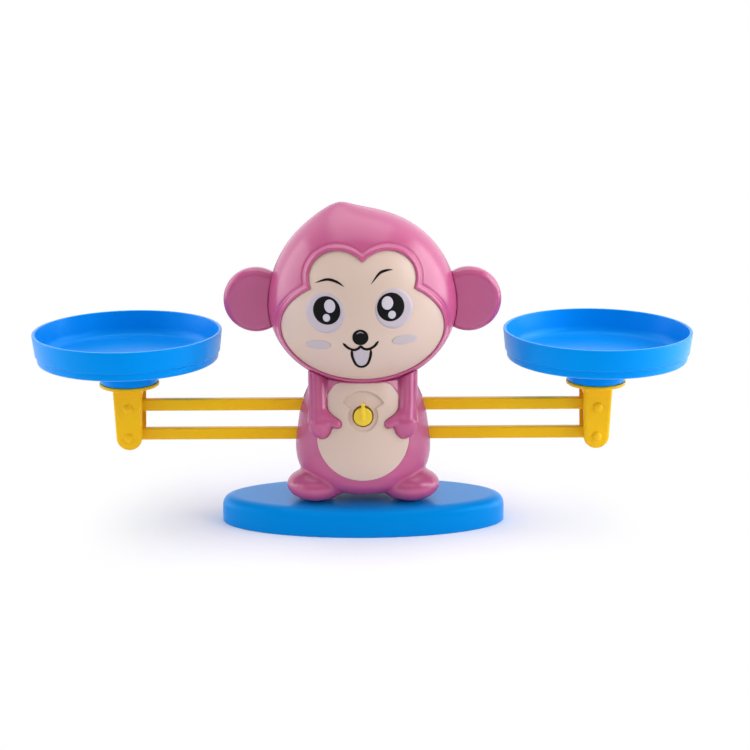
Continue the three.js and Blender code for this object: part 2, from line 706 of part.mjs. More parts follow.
// Pin with a domed head on both sides of the holder
function makePin(side, z) {
  const face = HOLDER_DEPTH / 2 + SEAT;
  const half = [
    [PIN_RADIUS, face],
    [PIN_HEAD_RADIUS, face],
    [PIN_HEAD_RADIUS * 0.8, face + PIN_HEAD_RISE * 0.7],
    [0, face + PIN_HEAD_RISE],
  ];
  const other = half.map(([r, y]) => [r, -y]).reverse();
  const shape = new THREE.LatheGeometry([...other, ...half].map(([r, y]) => new THREE.Vector2(r, y)), 16);
  shape.translate(side * REACH, 0, z);
  return solid(shape);
}

// Pan: shallow round tray with a ledge in its wall and a socketed foot
function makeTray(side) {
  const low = PAN_RIM_Z - PAN_HEIGHT;
  const foot = low - BOSS_HEIGHT;
  const ledge = PAN_RADIUS - PAN_FLARE;
  const lower = ledge - PAN_STEP;
  const floor = low + PAN_FLOOR;
  const shape = latheZ([
    [0, low],
    [PLUG_RADIUS + GAP, low],
    [PLUG_RADIUS + GAP, foot],
    [BOSS_RADIUS, foot],
    [BOSS_RADIUS, low],
    [lower - PAN_CORNER, low],
    [lower - PAN_CORNER * 0.3, low + PAN_CORNER * 0.3],
    [lower, low + PAN_CORNER],
    [lower, low + PAN_STEP_HEIGHT - 0.4],
    [ledge, low + PAN_STEP_HEIGHT],
    [PAN_RADIUS, PAN_RIM_Z],
    [PAN_RADIUS - PAN_WALL, PAN_RIM_Z],
    [lower - PAN_WALL, floor + PAN_CORNER],
    [lower - PAN_WALL - PAN_CORNER * 0.3, floor + PAN_CORNER * 0.3],
    [lower - PAN_WALL - PAN_CORNER, floor],
    [0, floor],
  ], 44);
  shape.translate(side * REACH, 0, 0);
  return solid(shape);
}

function piece(name, form, material) {
  const out = form.getMesh();
  const geometry = new THREE.BufferGeometry();
  geometry.setAttribute('position', new THREE.BufferAttribute(out.vertProperties, 3));
  geometry.setIndex(new THREE.BufferAttribute(out.triVerts, 1));
  geometry.computeVertexNormals();
  const mesh = new THREE.Mesh(geometry, material);
  mesh.name = name;
  return mesh;
}

function group(name, ...children) {
  const holder = new THREE.Group();
  holder.name = name;
  holder.add(...children);
  return holder;
}

function carrier(side, word) {
  return group(
    `carrier_${word}`,
    piece(`holder_${word}`, makeHolder(side), yellow),
    piece(`pin_upper_${word}`, makePin(side, UPPER_Z), yellow),
    piece(`pin_lower_${word}`, makePin(side, LOWER_Z), yellow),
    piece(`tray_${word}`, makeTray(side), blue),
  );
}

const lowerAxle = rodY(
  AXLE_RADIUS,
  BEARING_FRONT_Y - BEARING_DEPTH + GAP,
  BEARING_REAR_Y + BEARING_DEPTH - GAP,
  0,
  LOWER_Z,
);

export default group(
  'toy_balance_scale',
  group(
    'stand',
    piece('base', makeBase(), blue),
    ...BASE_SCREWS.map((place, i) => piece(`base_screw_${i + 1}`, makeBaseScrew(place), steel)),
    group(
      'body',
      piece('body_front', makeBodyFront(), pink),
      piece('body_rear', makeBodyRear(), pink),
      piece('belly_panel', makeBellyPanel(), cream),
      piece('lower_axle', lowerAxle, steel),
      piece('neck_spool', makeNeck(), pink),
      ...BODY_SCREWS.map((place, i) => piece(`body_screw_${i + 1}`, screwY(place), steel)),
    ),
    group(
      'head',
      piece('head_front', makeHeadFront(), pink),
      piece('head_rear', makeHeadRear(), pink),
      piece('face_panel', makeFacePanel(), cream),
      piece('ear_left', makeEar(-1), pink),
      piece('ear_right', makeEar(1), pink),
      ...HEAD_SCREWS.map((place, i) => piece(`head_screw_${i + 1}`, screwY(place), steel)),
    ),
  ),
  group(
    'balance',
    piece('upper_beam', makeBeam(UPPER_Z, UPPER_HUB_RADIUS, SHAFT_RADIUS), yellow),
    piece('lower_beam', makeBeam(LOWER_Z, LOWER_HUB_RADIUS, AXLE_RADIUS), yellow),
    piece('trim_knob', makeKnob(), yellow),
    piece('trim_weight', makeWeight(), steel),
    carrier(-1, 'left'),
    carrier(1, 'right'),
  ),
);
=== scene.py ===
from math import cos, pi, radians, sin

import bpy
import numpy as np
import openvdb
from mathutils import Matrix, Vector


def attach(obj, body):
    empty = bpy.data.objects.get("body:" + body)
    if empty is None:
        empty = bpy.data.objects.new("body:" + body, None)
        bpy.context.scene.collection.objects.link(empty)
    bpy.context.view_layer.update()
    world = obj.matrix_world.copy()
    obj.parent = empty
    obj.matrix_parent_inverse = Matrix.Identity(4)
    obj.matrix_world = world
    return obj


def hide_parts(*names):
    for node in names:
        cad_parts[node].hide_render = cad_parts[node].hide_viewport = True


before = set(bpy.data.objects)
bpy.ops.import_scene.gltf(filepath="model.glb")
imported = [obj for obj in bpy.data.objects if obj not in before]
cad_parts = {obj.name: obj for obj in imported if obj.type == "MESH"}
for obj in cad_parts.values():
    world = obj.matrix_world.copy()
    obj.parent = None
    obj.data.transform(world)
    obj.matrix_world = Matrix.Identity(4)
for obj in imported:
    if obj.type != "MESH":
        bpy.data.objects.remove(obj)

bl_info = {
    "name": "Toy balance scale",
    "version": (1, 0, 0),
    "blender": (4, 5, 0),
    "location": "View3D > Sidebar > Balance scale",
    "description": "Builds the moulded figure, pans, holders, beams and printed face of a toy balance scale",
    "category": "Object",
}

MM = 0.001
TINY = 1e-6
SIDES = (("left", -1), ("right", 1))


def mm(*sizes):
    """Sizes in millimetres as metres."""
    return tuple(size * MM for size in sizes)


# Settings

def length(name, description, default_mm):
    """Setting of a length, with its default in millimetres."""
    return bpy.props.FloatProperty(name=name, description=description, default=default_mm * MM, unit="LENGTH")


def linear(hex_code):
    """sRGB hex to linear colour with full alpha."""
    parts = [int(hex_code[i:i + 2], 16) / 255 for i in (1, 3, 5)]
    return [c / 12.92 if c <= 0.04045 else ((c + 0.055) / 1.055) ** 2.4 for c in parts] + [1.0]


def colour(name, description, hex_code):
    """Setting of a colour, with its default as sRGB hex."""
    return bpy.props.FloatVectorProperty(name=name, description=description, subtype="COLOR", size=4,
                                         min=0, max=1, default=linear(hex_code))


class ScaleColourSettings(bpy.types.PropertyGroup):
    """Colours of the plastics and the inks"""
    pink: colour("Pink", "Head, ears and body", "#BB5181")
    cream: colour("Cream", "Face and belly panels", "#D5BCAD")
    blue: colour("Blue", "Base", "#0089DC")
    # The pans' blue is the base's blue made lighter: painted light that stands in for light on the pans'
    # inner walls
    pan_blue: colour("Pan blue", "Pans", "#0090EC")
    yellow: colour("Yellow", "Beams, holders and pins", "#F8BE10")
    lemon: colour("Lemon", "Knob", "#EAC83A")
    black: colour("Black ink", "Eyes, brows, nose and mouth", "#020202")
    white: colour("White ink", "Glints in the eyes", "#C9C2CC")
    lilac: colour("Lilac ink", "Rings round the eyes and the tongue", "#BFB3BC")
    grey: colour("Grey ink", "Glint on the nose", "#8E8885")
    rose: colour("Pale ink", "Marks on the cheeks", "#BFB2B6")


class ScaleHeadSettings(bpy.types.PropertyGroup):
    """Sizes of the head, the ears and the face"""
    half_width: length("Half width", "Centre to the side of the head", 47.1)
    centre_z: length("Centre height", "Height of the widest section", 113.5)
    rise: length("Rise", "Widest section to the crown", 47)
    drop: length("Drop", "Widest section to the chin", 41)
    front: length("Front depth", "Parting plane to the face", 36)
    rear: length("Rear depth", "Parting plane to the back", 33)
    ear_radius: length("Ear radius", "Outer radius of an ear", 16.2)
    ear_x: length("Ear offset", "Middle of the head to the middle of an ear", 53)
    ear_z: length("Ear height", "Height of the middle of an ear", 116)
    ear_thick: length("Ear thickness", "Front to back", 9)
    bead: length("Bead radius", "Radius of the raised lip round the face", 1.25)
    panel_inset: length("Panel inset", "How far the face panel lies below the head's surface", 0.15)
    print_lift: length("Print thickness", "How far one layer of ink stands on the face", 0.06)


class ScaleBodySettings(bpy.types.PropertyGroup):
    """Sizes of the body, its belly panel and the knob"""
    wall: length("Wall", "Thickness of the shells", 2.6)
    front: bpy.props.FloatProperty(name="Front share", description="Depth to the front over half width",
                                   default=0.8)
    rear: bpy.props.FloatProperty(name="Rear share", description="Depth to the rear over half width",
                                  default=0.76)
    belly_half: length("Belly half width", "Half width of the cream panel", 22.6)
    belly_z: length("Belly height", "Height of the panel's widest section", 50)
    knob_radius: length("Knob radius", "Radius of the knob", 4.6)


class ScaleBalanceSettings(bpy.types.PropertyGroup):
    """Sizes of the base, the beams and the pans"""
    reach: length("Reach", "Middle of the scale to a pan's centre", 117.8)
    upper_z: length("Upper pivot", "Height of the upper beam's pivot", 61.8)
    lower_z: length("Lower pivot", "Height of the lower beam's pivot", 46.6)
    pan_radius: length("Pan radius", "Radius at the rim", 47.2)
    rim_z: length("Rim height", "Height of the pan's rim", 100.3)
    base_length: length("Base half length", "Half length of the oval base", 72.3)
    base_depth: length("Base half depth", "Half depth of the oval base", 29)
    base_height: length("Base height", "Thickness of the base", 14)


class ScaleStageSettings(bpy.types.PropertyGroup):
    """Camera and strength of the lights"""
    camera_distance: length("Camera distance", "Camera to the middle of the scale, along Y", 800)
    camera_z: length("Camera height", "Height of the camera", 288.3)
    lens: bpy.props.FloatProperty(name="Lens", description="Focal length in millimetres", default=78.7)
    key: bpy.props.FloatProperty(name="Key light", description="Watts that each light takes its share of",
                                 default=8.5)


# Nodes and materials

NODE_PITCH = (220, 200)


def add(tree, kind, spot, settings=None, values=None, links=None):
    """Adds a node with its settings, its socket values and its links."""
    node = tree.nodes.new(kind)
    node.location = [count * pitch for count, pitch in zip(spot, NODE_PITCH)]
    for key, value in (settings or {}).items():
        setattr(node, key, value)
    for key, value in (values or {}).items():
        node.inputs[key].default_value = value
    for key, source in (links or {}).items():
        tree.links.new(source, node.inputs[key])
    return node


def new_material(name):
    """Empty material and its node tree."""
    material = bpy.data.materials.new(name)
    material.use_nodes = True
    material.node_tree.nodes.clear()
    return material, material.node_tree


def shaded(base, share):
    """Colour made lighter, or darker, by a share of itself."""
    return [min(1, part * (1 + share)) for part in base[:3]] + [1]


# Real sizes of the patterns; the scale of a noise is one over its size
PIGMENT_CLOUD = 28.5 * MM
HANDLING_MARK = 5.55 * MM
SINK_WAVE = 4.55 * MM
SINK_DEPTH = 0.4 * MM
INK_PATCH = 2.5 * MM
# Zinc crystals and paper tooth are too fine to show in the render, so both are drawn this coarse
ZINC_GRAIN = 1.43 * MM
PAPER_TOOTH = 3.33 * MM

# How much each pattern changes the surface, as shares
PIGMENT_SPREAD = 0.02
GLOSS_SPREAD = 0.15
SINK_STRENGTH = 0.03
INK_SPREAD = 0.05


def moulded(name, base, rough, ior, gleam, streak):
    """Moulded plastic: a slight cloud in the pigment, marks of handling in the gloss and a faintly sunk skin.

    A streak above 1 draws the sink out into level lines, as on a turned wall.
    """
    material, tree = new_material(name)
    where = add(tree, "ShaderNodeTexCoord", (-6, 0)).outputs["Object"]
    cloud = add(tree, "ShaderNodeTexNoise", (-4, 1),
                values={"Scale": 1 / PIGMENT_CLOUD, "Detail": 3.0, "Roughness": 0.5}, links={"Vector": where})
    pigment = add(tree, "ShaderNodeMix", (-2, 1), {"data_type": "RGBA"},
                  {"A": shaded(base, -PIGMENT_SPREAD), "B": shaded(base, PIGMENT_SPREAD)},
                  {"Factor": cloud.outputs["Fac"]})
    marks = add(tree, "ShaderNodeTexNoise", (-4, 0),
                values={"Scale": 1 / HANDLING_MARK, "Detail": 4.0, "Roughness": 0.6}, links={"Vector": where})
    gloss = add(tree, "ShaderNodeMapRange", (-2, 0),
                values={"To Min": rough * (1 - GLOSS_SPREAD), "To Max": rough * (1 + GLOSS_SPREAD)},
                links={"Value": marks.outputs["Fac"]})
    drawn = add(tree, "ShaderNodeMapping", (-5, -1), values={"Scale": (1 / streak, 1 / streak, streak)},
                links={"Vector": where})
    sink = add(tree, "ShaderNodeTexNoise", (-4, -1), values={"Scale": 1 / SINK_WAVE, "Detail": 1.0},
               links={"Vector": drawn.outputs["Vector"]})
    skin = add(tree, "ShaderNodeBump", (-2, -1), values={"Strength": SINK_STRENGTH, "Distance": SINK_DEPTH},
               links={"Height": sink.outputs["Fac"]})
    shader = add(tree, "ShaderNodeBsdfPrincipled", (-1, 0),
                 values={"IOR": ior, "Specular Tint": linear(gleam)},
                 links={"Base Color": pigment.outputs["Result"], "Roughness": gloss.outputs["Result"],
                        "Normal": skin.outputs["Normal"]})
    add(tree, "ShaderNodeOutputMaterial", (0, 0), links={"Surface": shader.outputs["BSDF"]})
    return material


STEEL_NAME = "Zinc-plated steel"
STEEL_GREY = "#B9BBBE"
STEEL_ROUGH = (0.28, 0.42)


def plated_steel():
    """Zinc-plated steel: a pale grey metal whose gloss is broken by the crystals of the plating."""
    material, tree = new_material(STEEL_NAME)
    where = add(tree, "ShaderNodeTexCoord", (-4, 0)).outputs["Object"]
    grain = add(tree, "ShaderNodeTexNoise", (-3, 0), values={"Scale": 1 / ZINC_GRAIN, "Detail": 4.0},
                links={"Vector": where})
    gloss = add(tree, "ShaderNodeMapRange", (-2, 0),
                values={"To Min": STEEL_ROUGH[0], "To Max": STEEL_ROUGH[1]},
                links={"Value": grain.outputs["Fac"]})
    shader = add(tree, "ShaderNodeBsdfPrincipled", (-1, 0),
                 values={"Base Color": linear(STEEL_GREY), "Metallic": 1.0},
                 links={"Roughness": gloss.outputs["Result"]})
    add(tree, "ShaderNodeOutputMaterial", (0, 0), links={"Surface": shader.outputs["BSDF"]})
    return material


def printed_ink(name, base, rough, ior):
    """Pad-printed ink: flat colour, duller than the plastic and slightly uneven in its cover."""
    material, tree = new_material(name)
    where = add(tree, "ShaderNodeTexCoord", (-4, 0)).outputs["Object"]
    cover = add(tree, "ShaderNodeTexNoise", (-3, 0), values={"Scale": 1 / INK_PATCH, "Detail": 3.0},
                links={"Vector": where})
    tone = add(tree, "ShaderNodeMix", (-2, 0), {"data_type": "RGBA"},
               {"A": base, "B": shaded(base, INK_SPREAD)}, {"Factor": cover.outputs["Fac"]})
    shader = add(tree, "ShaderNodeBsdfPrincipled", (-1, 0), values={"Roughness": rough, "IOR": ior},
                 links={"Base Color": tone.outputs["Result"]})
    add(tree, "ShaderNodeOutputMaterial", (0, 0), links={"Surface": shader.outputs["BSDF"]})
    return material


# Material, roughness, IOR, tint of the gleam and streak of each plastic
PLASTICS = {
    "pink": ("ABS moulded pink", 0.25, 1.6, "#FFFFFF", 1.0),
    "cream": ("ABS moulded cream", 0.36, 1.54, "#FFFFFF", 1.0),
    "blue": ("Polypropylene moulded blue", 0.32, 1.5, "#28B0FF", 1.0),
    # The pans' blue holds painted light: it is lighter than the base's blue so that the pans' inner walls
    # look brighter
    "pan_blue": ("Polypropylene moulded pan blue", 0.32, 1.5, "#28B0FF", 4.0),
    "yellow": ("Polypropylene moulded yellow", 0.36, 1.5, "#FFE890", 1.0),
    "lemon": ("Polypropylene moulded lemon", 0.36, 1.5, "#FFF0A0", 1.0),
}
# Material, roughness and IOR of each ink
INKS = {
    "black": ("Pad-printed black ink", 0.75, 1.3),
    "white": ("Pad-printed white ink", 0.4, 1.4),
    "lilac": ("Pad-printed lilac ink", 0.4, 1.4),
    "grey": ("Pad-printed grey ink", 0.4, 1.4),
    "rose": ("Pad-printed pale ink", 0.4, 1.4),
}


def material_of(key):
    """Material of a colour in the settings, or of the steel, made when it is first asked for."""
    if key == "steel":
        return bpy.data.materials.get(STEEL_NAME) or plated_steel()
    build, known = (moulded, PLASTICS[key]) if key in PLASTICS else (printed_ink, INKS[key])
    base = list(getattr(bpy.context.scene.scale_colours, key))
    return bpy.data.materials.get(known[0]) or build(known[0], base, *known[1:])


# Distance fields: each takes points (x, y, z) in metres as arrays, and is negative inside

def ellipsoid(p, centre, radii):
    """Egg about a centre; its radii may be arrays that change from one side to the other."""
    q = [(a - c) / r for a, c, r in zip(p, centre, radii)]
    k0 = np.sqrt(q[0] ** 2 + q[1] ** 2 + q[2] ** 2)
    k1 = np.sqrt(sum((a / r) ** 2 for a, r in zip(q, radii)))
    return k0 * (k0 - 1) / np.maximum(k1, TINY)


def capsule(p, start, end, start_radius, end_radius):
    """Round-ended bar from one point to another, with a radius at each."""
    start, end = np.array(start), np.array(end)
    way = end - start
    t = np.clip(sum((q - s) * w for q, s, w in zip(p, start, way)) / way.dot(way), 0, 1)
    gap = [q - s - t * w for q, s, w in zip(p, start, way)]
    return np.sqrt(sum(g ** 2 for g in gap)) - (start_radius + (end_radius - start_radius) * t)


def block(p, centre, half, edge):
    """Box with rounded edges."""
    q = [abs(a - c) - h + edge for a, c, h in zip(p, centre, half)]
    outside = np.sqrt(sum(np.maximum(a, 0) ** 2 for a in q))
    return outside + np.minimum(np.maximum(np.maximum(q[0], q[1]), q[2]), 0) - edge


def rod(p, axis, centre, radius, low, high, edge=0.0):
    """Round bar along an axis, with rounded rims."""
    across = [i for i in range(3) if i != axis]
    r = np.sqrt(sum((p[i] - centre[i]) ** 2 for i in across)) - radius + edge
    h = abs(p[axis] - (low + high) / 2) - (high - low) / 2 + edge
    return np.minimum(np.maximum(r, h), 0) + np.sqrt(np.maximum(r, 0) ** 2 + np.maximum(h, 0) ** 2) - edge


def union(a, b, blend=TINY):
    """The two together, with the seam between them filled over the length of the blend."""
    h = np.clip(0.5 + 0.5 * (b - a) / blend, 0, 1)
    return b * (1 - h) + a * h - blend * h * (1 - h)


def cut(a, b, blend=TINY):
    """What is left of the first when the second is taken away."""
    return -union(-a, b, blend)


def both(a, b, blend=TINY):
    """What the two share."""
    return -union(-a, -b, blend)


def flat_oval(x, z, centre, half, rise, drop):
    """Distance in a plane to an oval with its own rise and drop."""
    height = np.where(z > centre[1], rise, drop)
    u, v = (x - centre[0]) / half, (z - centre[1]) / height
    k0 = np.sqrt(u * u + v * v)
    k1 = np.sqrt((u / half) ** 2 + (v / height) ** 2)
    return k0 * (k0 - 1) / np.maximum(k1, TINY)


# Meshes

# In steps of the grid: free room round a piece, whose odd share keeps flat walls off the grid's planes, the
# distances that the grid tells apart, the probe for a slope, and the most that a point moves in one round
GRID_MARGIN = 3.37
GRID_BAND = 4
PROBE_SHARE = 0.1
LARGEST_MOVE = 0.5
SETTLING_ROUNDS = 3
LEAST_SLOPE = 0.5


def mesh_object(name, points, faces, material):
    """Smooth mesh with one material, in the scene."""
    mesh = bpy.data.meshes.new(name)
    mesh.from_pydata([tuple(point) for point in points], [], [tuple(face) for face in faces])
    mesh.validate()
    mesh.polygons.foreach_set("use_smooth", [True] * len(mesh.polygons))
    mesh.materials.append(material)
    obj = bpy.data.objects.new(name, mesh)
    bpy.context.scene.collection.objects.link(obj)
    return obj


def place(obj, body, nodes):
    """Puts a piece on its body, in place of its CAD nodes."""
    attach(obj, body)
    if nodes:
        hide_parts(*nodes)
    return obj


def signed_volume(points, quads):
    """Six times the volume inside the faces, below zero where they point inwards."""
    a, b, c, d = (points[quads[:, i]] for i in range(4))
    return float((a * (np.cross(b, c) + np.cross(c, d))).sum())


def moulded_piece(name, field, spans, step, material, body, nodes):
    """Meshes a distance field within spans of X, Y and Z, and puts the piece in place of its CAD nodes.

    The points of the grid's mesh are settled on the true surface along the field's slope.
    """
    low = np.array([span[0] for span in spans]) - GRID_MARGIN * step
    high = np.array([span[1] for span in spans]) + GRID_MARGIN * step
    axes = [np.arange(a, b, step) for a, b in zip(low, high)]
    distance = field(np.meshgrid(*axes, indexing="ij"))
    grid = openvdb.FloatGrid(float(GRID_BAND))
    grid.copyFromArray(np.clip(distance / step, -GRID_BAND, GRID_BAND).astype(np.float32))
    points, quads = grid.convertToQuads(0.0)
    points = points.astype(float) * step + low
    for _ in range(SETTLING_ROUNDS):
        away = field(points.T)
        slope = np.empty_like(points)
        for axis in range(3):
            probe = points.copy()
            probe[:, axis] += PROBE_SHARE * step
            slope[:, axis] = (field(probe.T) - away) / (PROBE_SHARE * step)
        move = away / np.maximum((slope ** 2).sum(1), LEAST_SLOPE ** 2)
        points -= slope * np.clip(move, -LARGEST_MOVE * step, LARGEST_MOVE * step)[:, None]
    outward = quads if signed_volume(points, quads) > 0 else quads[:, ::-1]
    return place(mesh_object(name, points, outward, material), body, nodes)


def new_tree(name, inputs):
    """Geometry Nodes tree with named inputs and one output, and the sockets that its inputs come from."""
    tree = bpy.data.node_groups.new(name, "GeometryNodeTree")
    for socket, kind in inputs.items():
        tree.interface.new_socket(socket, in_out="INPUT", socket_type="NodeSocket" + kind)
    tree.interface.new_socket("Geometry", in_out="OUTPUT", socket_type="NodeSocketGeometry")
    return tree, add(tree, "NodeGroupInput", (-9, 0)).outputs


def end_tree(tree, geometry, material):
    """Ends a tree in plain geometry with its material."""
    real = add(tree, "GeometryNodeRealizeInstances", (2, 0), links={"Geometry": geometry})
    dressed = add(tree, "GeometryNodeSetMaterial", (3, 0), values={"Material": material},
                  links={"Geometry": real.outputs["Geometry"]})
    add(tree, "NodeGroupOutput", (4, 0), links={"Geometry": dressed.outputs["Geometry"]})


def grown(name, points, tree, values, material):
    """Plain mesh object that a tree makes from points, with the tree's named inputs set."""
    source = mesh_object(name + "_points", points, [], material)
    modifier = source.modifiers.new("Nodes", "NODES")
    modifier.node_group = tree
    for socket in tree.interface.items_tree:
        if socket.name in values:
            modifier[socket.identifier] = values[socket.name]
    bpy.context.view_layer.update()
    made = bpy.data.meshes.new_from_object(source.evaluated_get(bpy.context.evaluated_depsgraph_get()))
    bpy.data.objects.remove(source)
    made.name = name
    obj = bpy.data.objects.new(name, made)
    bpy.context.scene.collection.objects.link(obj)
    return obj


# Screw places, in X and Z for the shells and in X and Y for the base

BODY_SCREW_X = 21 * MM
BODY_SCREW_HEIGHTS = mm(70, 27)
HEAD_SCREW_X, HEAD_SCREW_LOW, HEAD_SCREW_TOP = mm(26, 97, 147)
BASE_SCREW_X, BASE_SCREW_Y = mm(10, 6.5)
BODY_SCREWS = [(side * BODY_SCREW_X, z) for z in BODY_SCREW_HEIGHTS for _, side in SIDES]
HEAD_SCREWS = [(-HEAD_SCREW_X, HEAD_SCREW_LOW), (HEAD_SCREW_X, HEAD_SCREW_LOW), (0.0, HEAD_SCREW_TOP)]
BASE_SCREWS = [(sx * BASE_SCREW_X, sy * BASE_SCREW_Y) for sy in (-1, 1) for sx in (-1, 1)]
SCREW_SHELF = 6 * MM
DRIVER_HOLE = 3.1 * MM
DRIVER_WALL = 1.4 * MM
PAST_THE_REAR = 60 * MM


def rods_from_rear(p, places, radius, start):
    """Distance to the nearest of several rods along Y, from a start towards the rear."""
    rods = [rod(p, 1, (x, 0, z), radius, start, PAST_THE_REAR) for x, z in places]
    return np.minimum.reduce(rods)


# Head

SEAM = 0.1 * MM
SEAM_ROUND = 0.4 * MM
HOLE_ROUND = 0.3 * MM
NECK_RADIUS, NECK_LOW, NECK_TOP = mm(7.6, 60, 82)
TUFT_LEFT, TUFT_RISE, TUFT_DEPTH = mm(11.8, 5.3, 9)
TUFT_SPREAD_LEFT, TUFT_SPREAD_RIGHT = mm(15, 9)
TUFT_FOOT_Z, TUFT_FADE = mm(118, 30)
CHEEK_Z, CHEEK_HALF, CHEEK_RISE, CHEEK_DROP = mm(106, 40.1, 27, 26.3)
LOBE_X, LOBE_Z, LOBE_HALF, LOBE_RISE = mm(11.5, 132.2, 14.5, 13)
FACE_EDGE_Y = -3 * MM
FACE_SEAT, FACE_BACK, FACE_PLAY = mm(2.4, 2.2, 0.1)
FACE_ROUND = 0.2 * MM
LIP_OUT, LIP_SINK, LIP_BLEND = mm(1.1, 0.45, 0.25)
CREASE_OUT, CREASE_LIFT, CREASE_RADIUS, CREASE_BLEND = mm(2.7, 0.1, 0.45, 0.5)
EAR_ROUND, EAR_PLAY = mm(3.6, 0.1)
HEAD_FRONT_STEP, HEAD_REAR_STEP, FACE_STEP, EAR_STEP = mm(0.62, 0.7, 0.6, 0.5)


def head_field(p, grow=0.0):
    """Egg of the head, without its tuft."""
    s = bpy.context.scene.scale_head
    depth = np.where(p[1] < 0, s.front, s.rear)
    height = np.where(p[2] > s.centre_z, s.rise, s.drop)
    return ellipsoid(p, (0, 0, s.centre_z), (s.half_width + grow, depth + grow, height + grow))


def crowned_head(p):
    """Head with a tuft on its crown, left of the middle, that falls off gently to the left."""
    x, y, z = p
    aside = x + TUFT_LEFT
    spread = np.where(aside < 0, TUFT_SPREAD_LEFT, TUFT_SPREAD_RIGHT)
    swell = TUFT_RISE / (1 + (aside / spread) ** 2 + (y / TUFT_DEPTH) ** 2)
    return head_field(p) - swell * np.clip((z - TUFT_FOOT_Z) / TUFT_FADE, 0, 1)


def face_outline(p):
    """Outline of the face: one wide oval for the cheeks and two lobes for the brow."""
    outline = flat_oval(p[0], p[2], (0, CHEEK_Z), CHEEK_HALF, CHEEK_RISE, CHEEK_DROP)
    for _, side in SIDES:
        lobe = flat_oval(p[0], p[2], (side * LOBE_X, LOBE_Z), LOBE_HALF, LOBE_RISE, LOBE_RISE)
        outline = np.minimum(outline, lobe)
    return outline


def neck_hole(half, p):
    """A shell with the hole of the neck spool cut from it."""
    return cut(half, rod(p, 2, (0, 0, 0), NECK_RADIUS, NECK_LOW, NECK_TOP))


def head_front_field(p):
    """Front shell with a seat for the face panel, a bead round it and a crease outside the bead."""
    skin, bare, edge = crowned_head(p), head_field(p), face_outline(p)
    ahead = p[1] - FACE_EDGE_Y
    lip = np.sqrt((edge - LIP_OUT) ** 2 + (skin + LIP_SINK) ** 2) - bpy.context.scene.scale_head.bead
    crease = np.sqrt((edge - CREASE_OUT) ** 2 + (skin - CREASE_LIFT) ** 2) - CREASE_RADIUS
    seat = both(both(edge, -bare - FACE_SEAT), ahead)
    shell = cut(skin, both(crease, ahead), CREASE_BLEND)
    shell = cut(shell, seat, FACE_PLAY)
    shell = union(shell, both(lip, ahead), LIP_BLEND)
    return neck_hole(both(shell, p[1] + SEAM, SEAM_ROUND), p)


def head_rear_field(p):
    """Rear shell with the holes that its screws are driven through."""
    shell = both(crowned_head(p), SEAM - p[1], SEAM_ROUND)
    shell = cut(shell, rods_from_rear(p, HEAD_SCREWS, DRIVER_HOLE, SCREW_SHELF), HOLE_ROUND)
    return neck_hole(shell, p)


def face_panel_field(p):
    """Cream panel that follows the head's surface inside the face's outline."""
    bare = head_field(p)
    layer = both(bare + bpy.context.scene.scale_head.panel_inset, -bare - FACE_BACK, FACE_ROUND)
    return both(both(layer, face_outline(p) + FACE_PLAY, FACE_PLAY), p[1] - FACE_EDGE_Y)


def ear_field(p, side):
    """Thick disc with soft rims, cut to the head."""
    s = bpy.context.scene.scale_head
    half = s.ear_thick / 2
    disc = rod(p, 1, (side * s.ear_x, 0, s.ear_z), s.ear_radius, -half, half, EAR_ROUND)
    return cut(disc, head_field(p, EAR_PLAY))


class SCALE_OT_head(bpy.types.Operator):
    """Builds the head's front and rear shells"""
    bl_idname = "scale.head"
    bl_label = "Head"

    def execute(self, context):
        s = context.scene.scale_head
        wide = (-s.half_width, s.half_width)
        tall = (s.centre_z - s.drop, s.centre_z + s.rise + TUFT_RISE)
        front_spans = (wide, (-s.front - s.bead, 0), tall)
        rear_spans = (wide, (0, s.rear), tall)
        moulded_piece("head_front_shell", head_front_field, front_spans, HEAD_FRONT_STEP,
                      material_of("pink"), "stand", ["head_front"])
        moulded_piece("head_rear_shell", head_rear_field, rear_spans, HEAD_REAR_STEP,
                      material_of("pink"), "stand", ["head_rear"])
        return {"FINISHED"}


class SCALE_OT_face(bpy.types.Operator):
    """Builds the cream face panel"""
    bl_idname = "scale.face"
    bl_label = "Face panel"

    def execute(self, context):
        spans = ((-CHEEK_HALF, CHEEK_HALF), (-context.scene.scale_head.front, FACE_EDGE_Y),
                 (CHEEK_Z - CHEEK_DROP, LOBE_Z + LOBE_RISE))
        moulded_piece("face_cover", face_panel_field, spans, FACE_STEP,
                      material_of("cream"), "stand", ["face_panel"])
        return {"FINISHED"}


class SCALE_OT_ears(bpy.types.Operator):
    """Builds the two ears"""
    bl_idname = "scale.ears"
    bl_label = "Ears"

    def execute(self, context):
        s = context.scene.scale_head
        for word, side in SIDES:
            x = side * s.ear_x
            spans = ((x - s.ear_radius, x + s.ear_radius), (-s.ear_thick / 2, s.ear_thick / 2),
                     (s.ear_z - s.ear_radius, s.ear_z + s.ear_radius))
            moulded_piece("ear_disc_" + word, lambda p, side=side: ear_field(p, side), spans, EAR_STEP,
                          material_of("pink"), "stand", ["ear_" + word])
        return {"FINISHED"}


# Printed face, in millimetres of X and Z as seen from the front

# Ovals: middle in X and Z, half width and half height
HALOS = [(-17.9, 116.1, 9.4, 9.9), (15.1, 118.2, 9.1, 9.7)]
BLUSHES = [(-21.4, 99.7, 6.3, 2.5), (20.3, 102.4, 6.3, 2.5)]
EYES = [(-17.2, 117.4, 6.6, 6.9), (13.5, 119.2, 6.6, 6.9)]
GLINTS = [(-15.7, 119.6, 2.65, 3.2), (-17.3, 113.9, 1.75, 1.9),
          (11.9, 121.2, 2.75, 3.2), (14.1, 115.5, 1.85, 1.95)]
TONGUE = [(-0.75, 93.9, 4.0, 5.4)]
NOSE = [(-1.1, 104.5, 3.9, 4.0)]
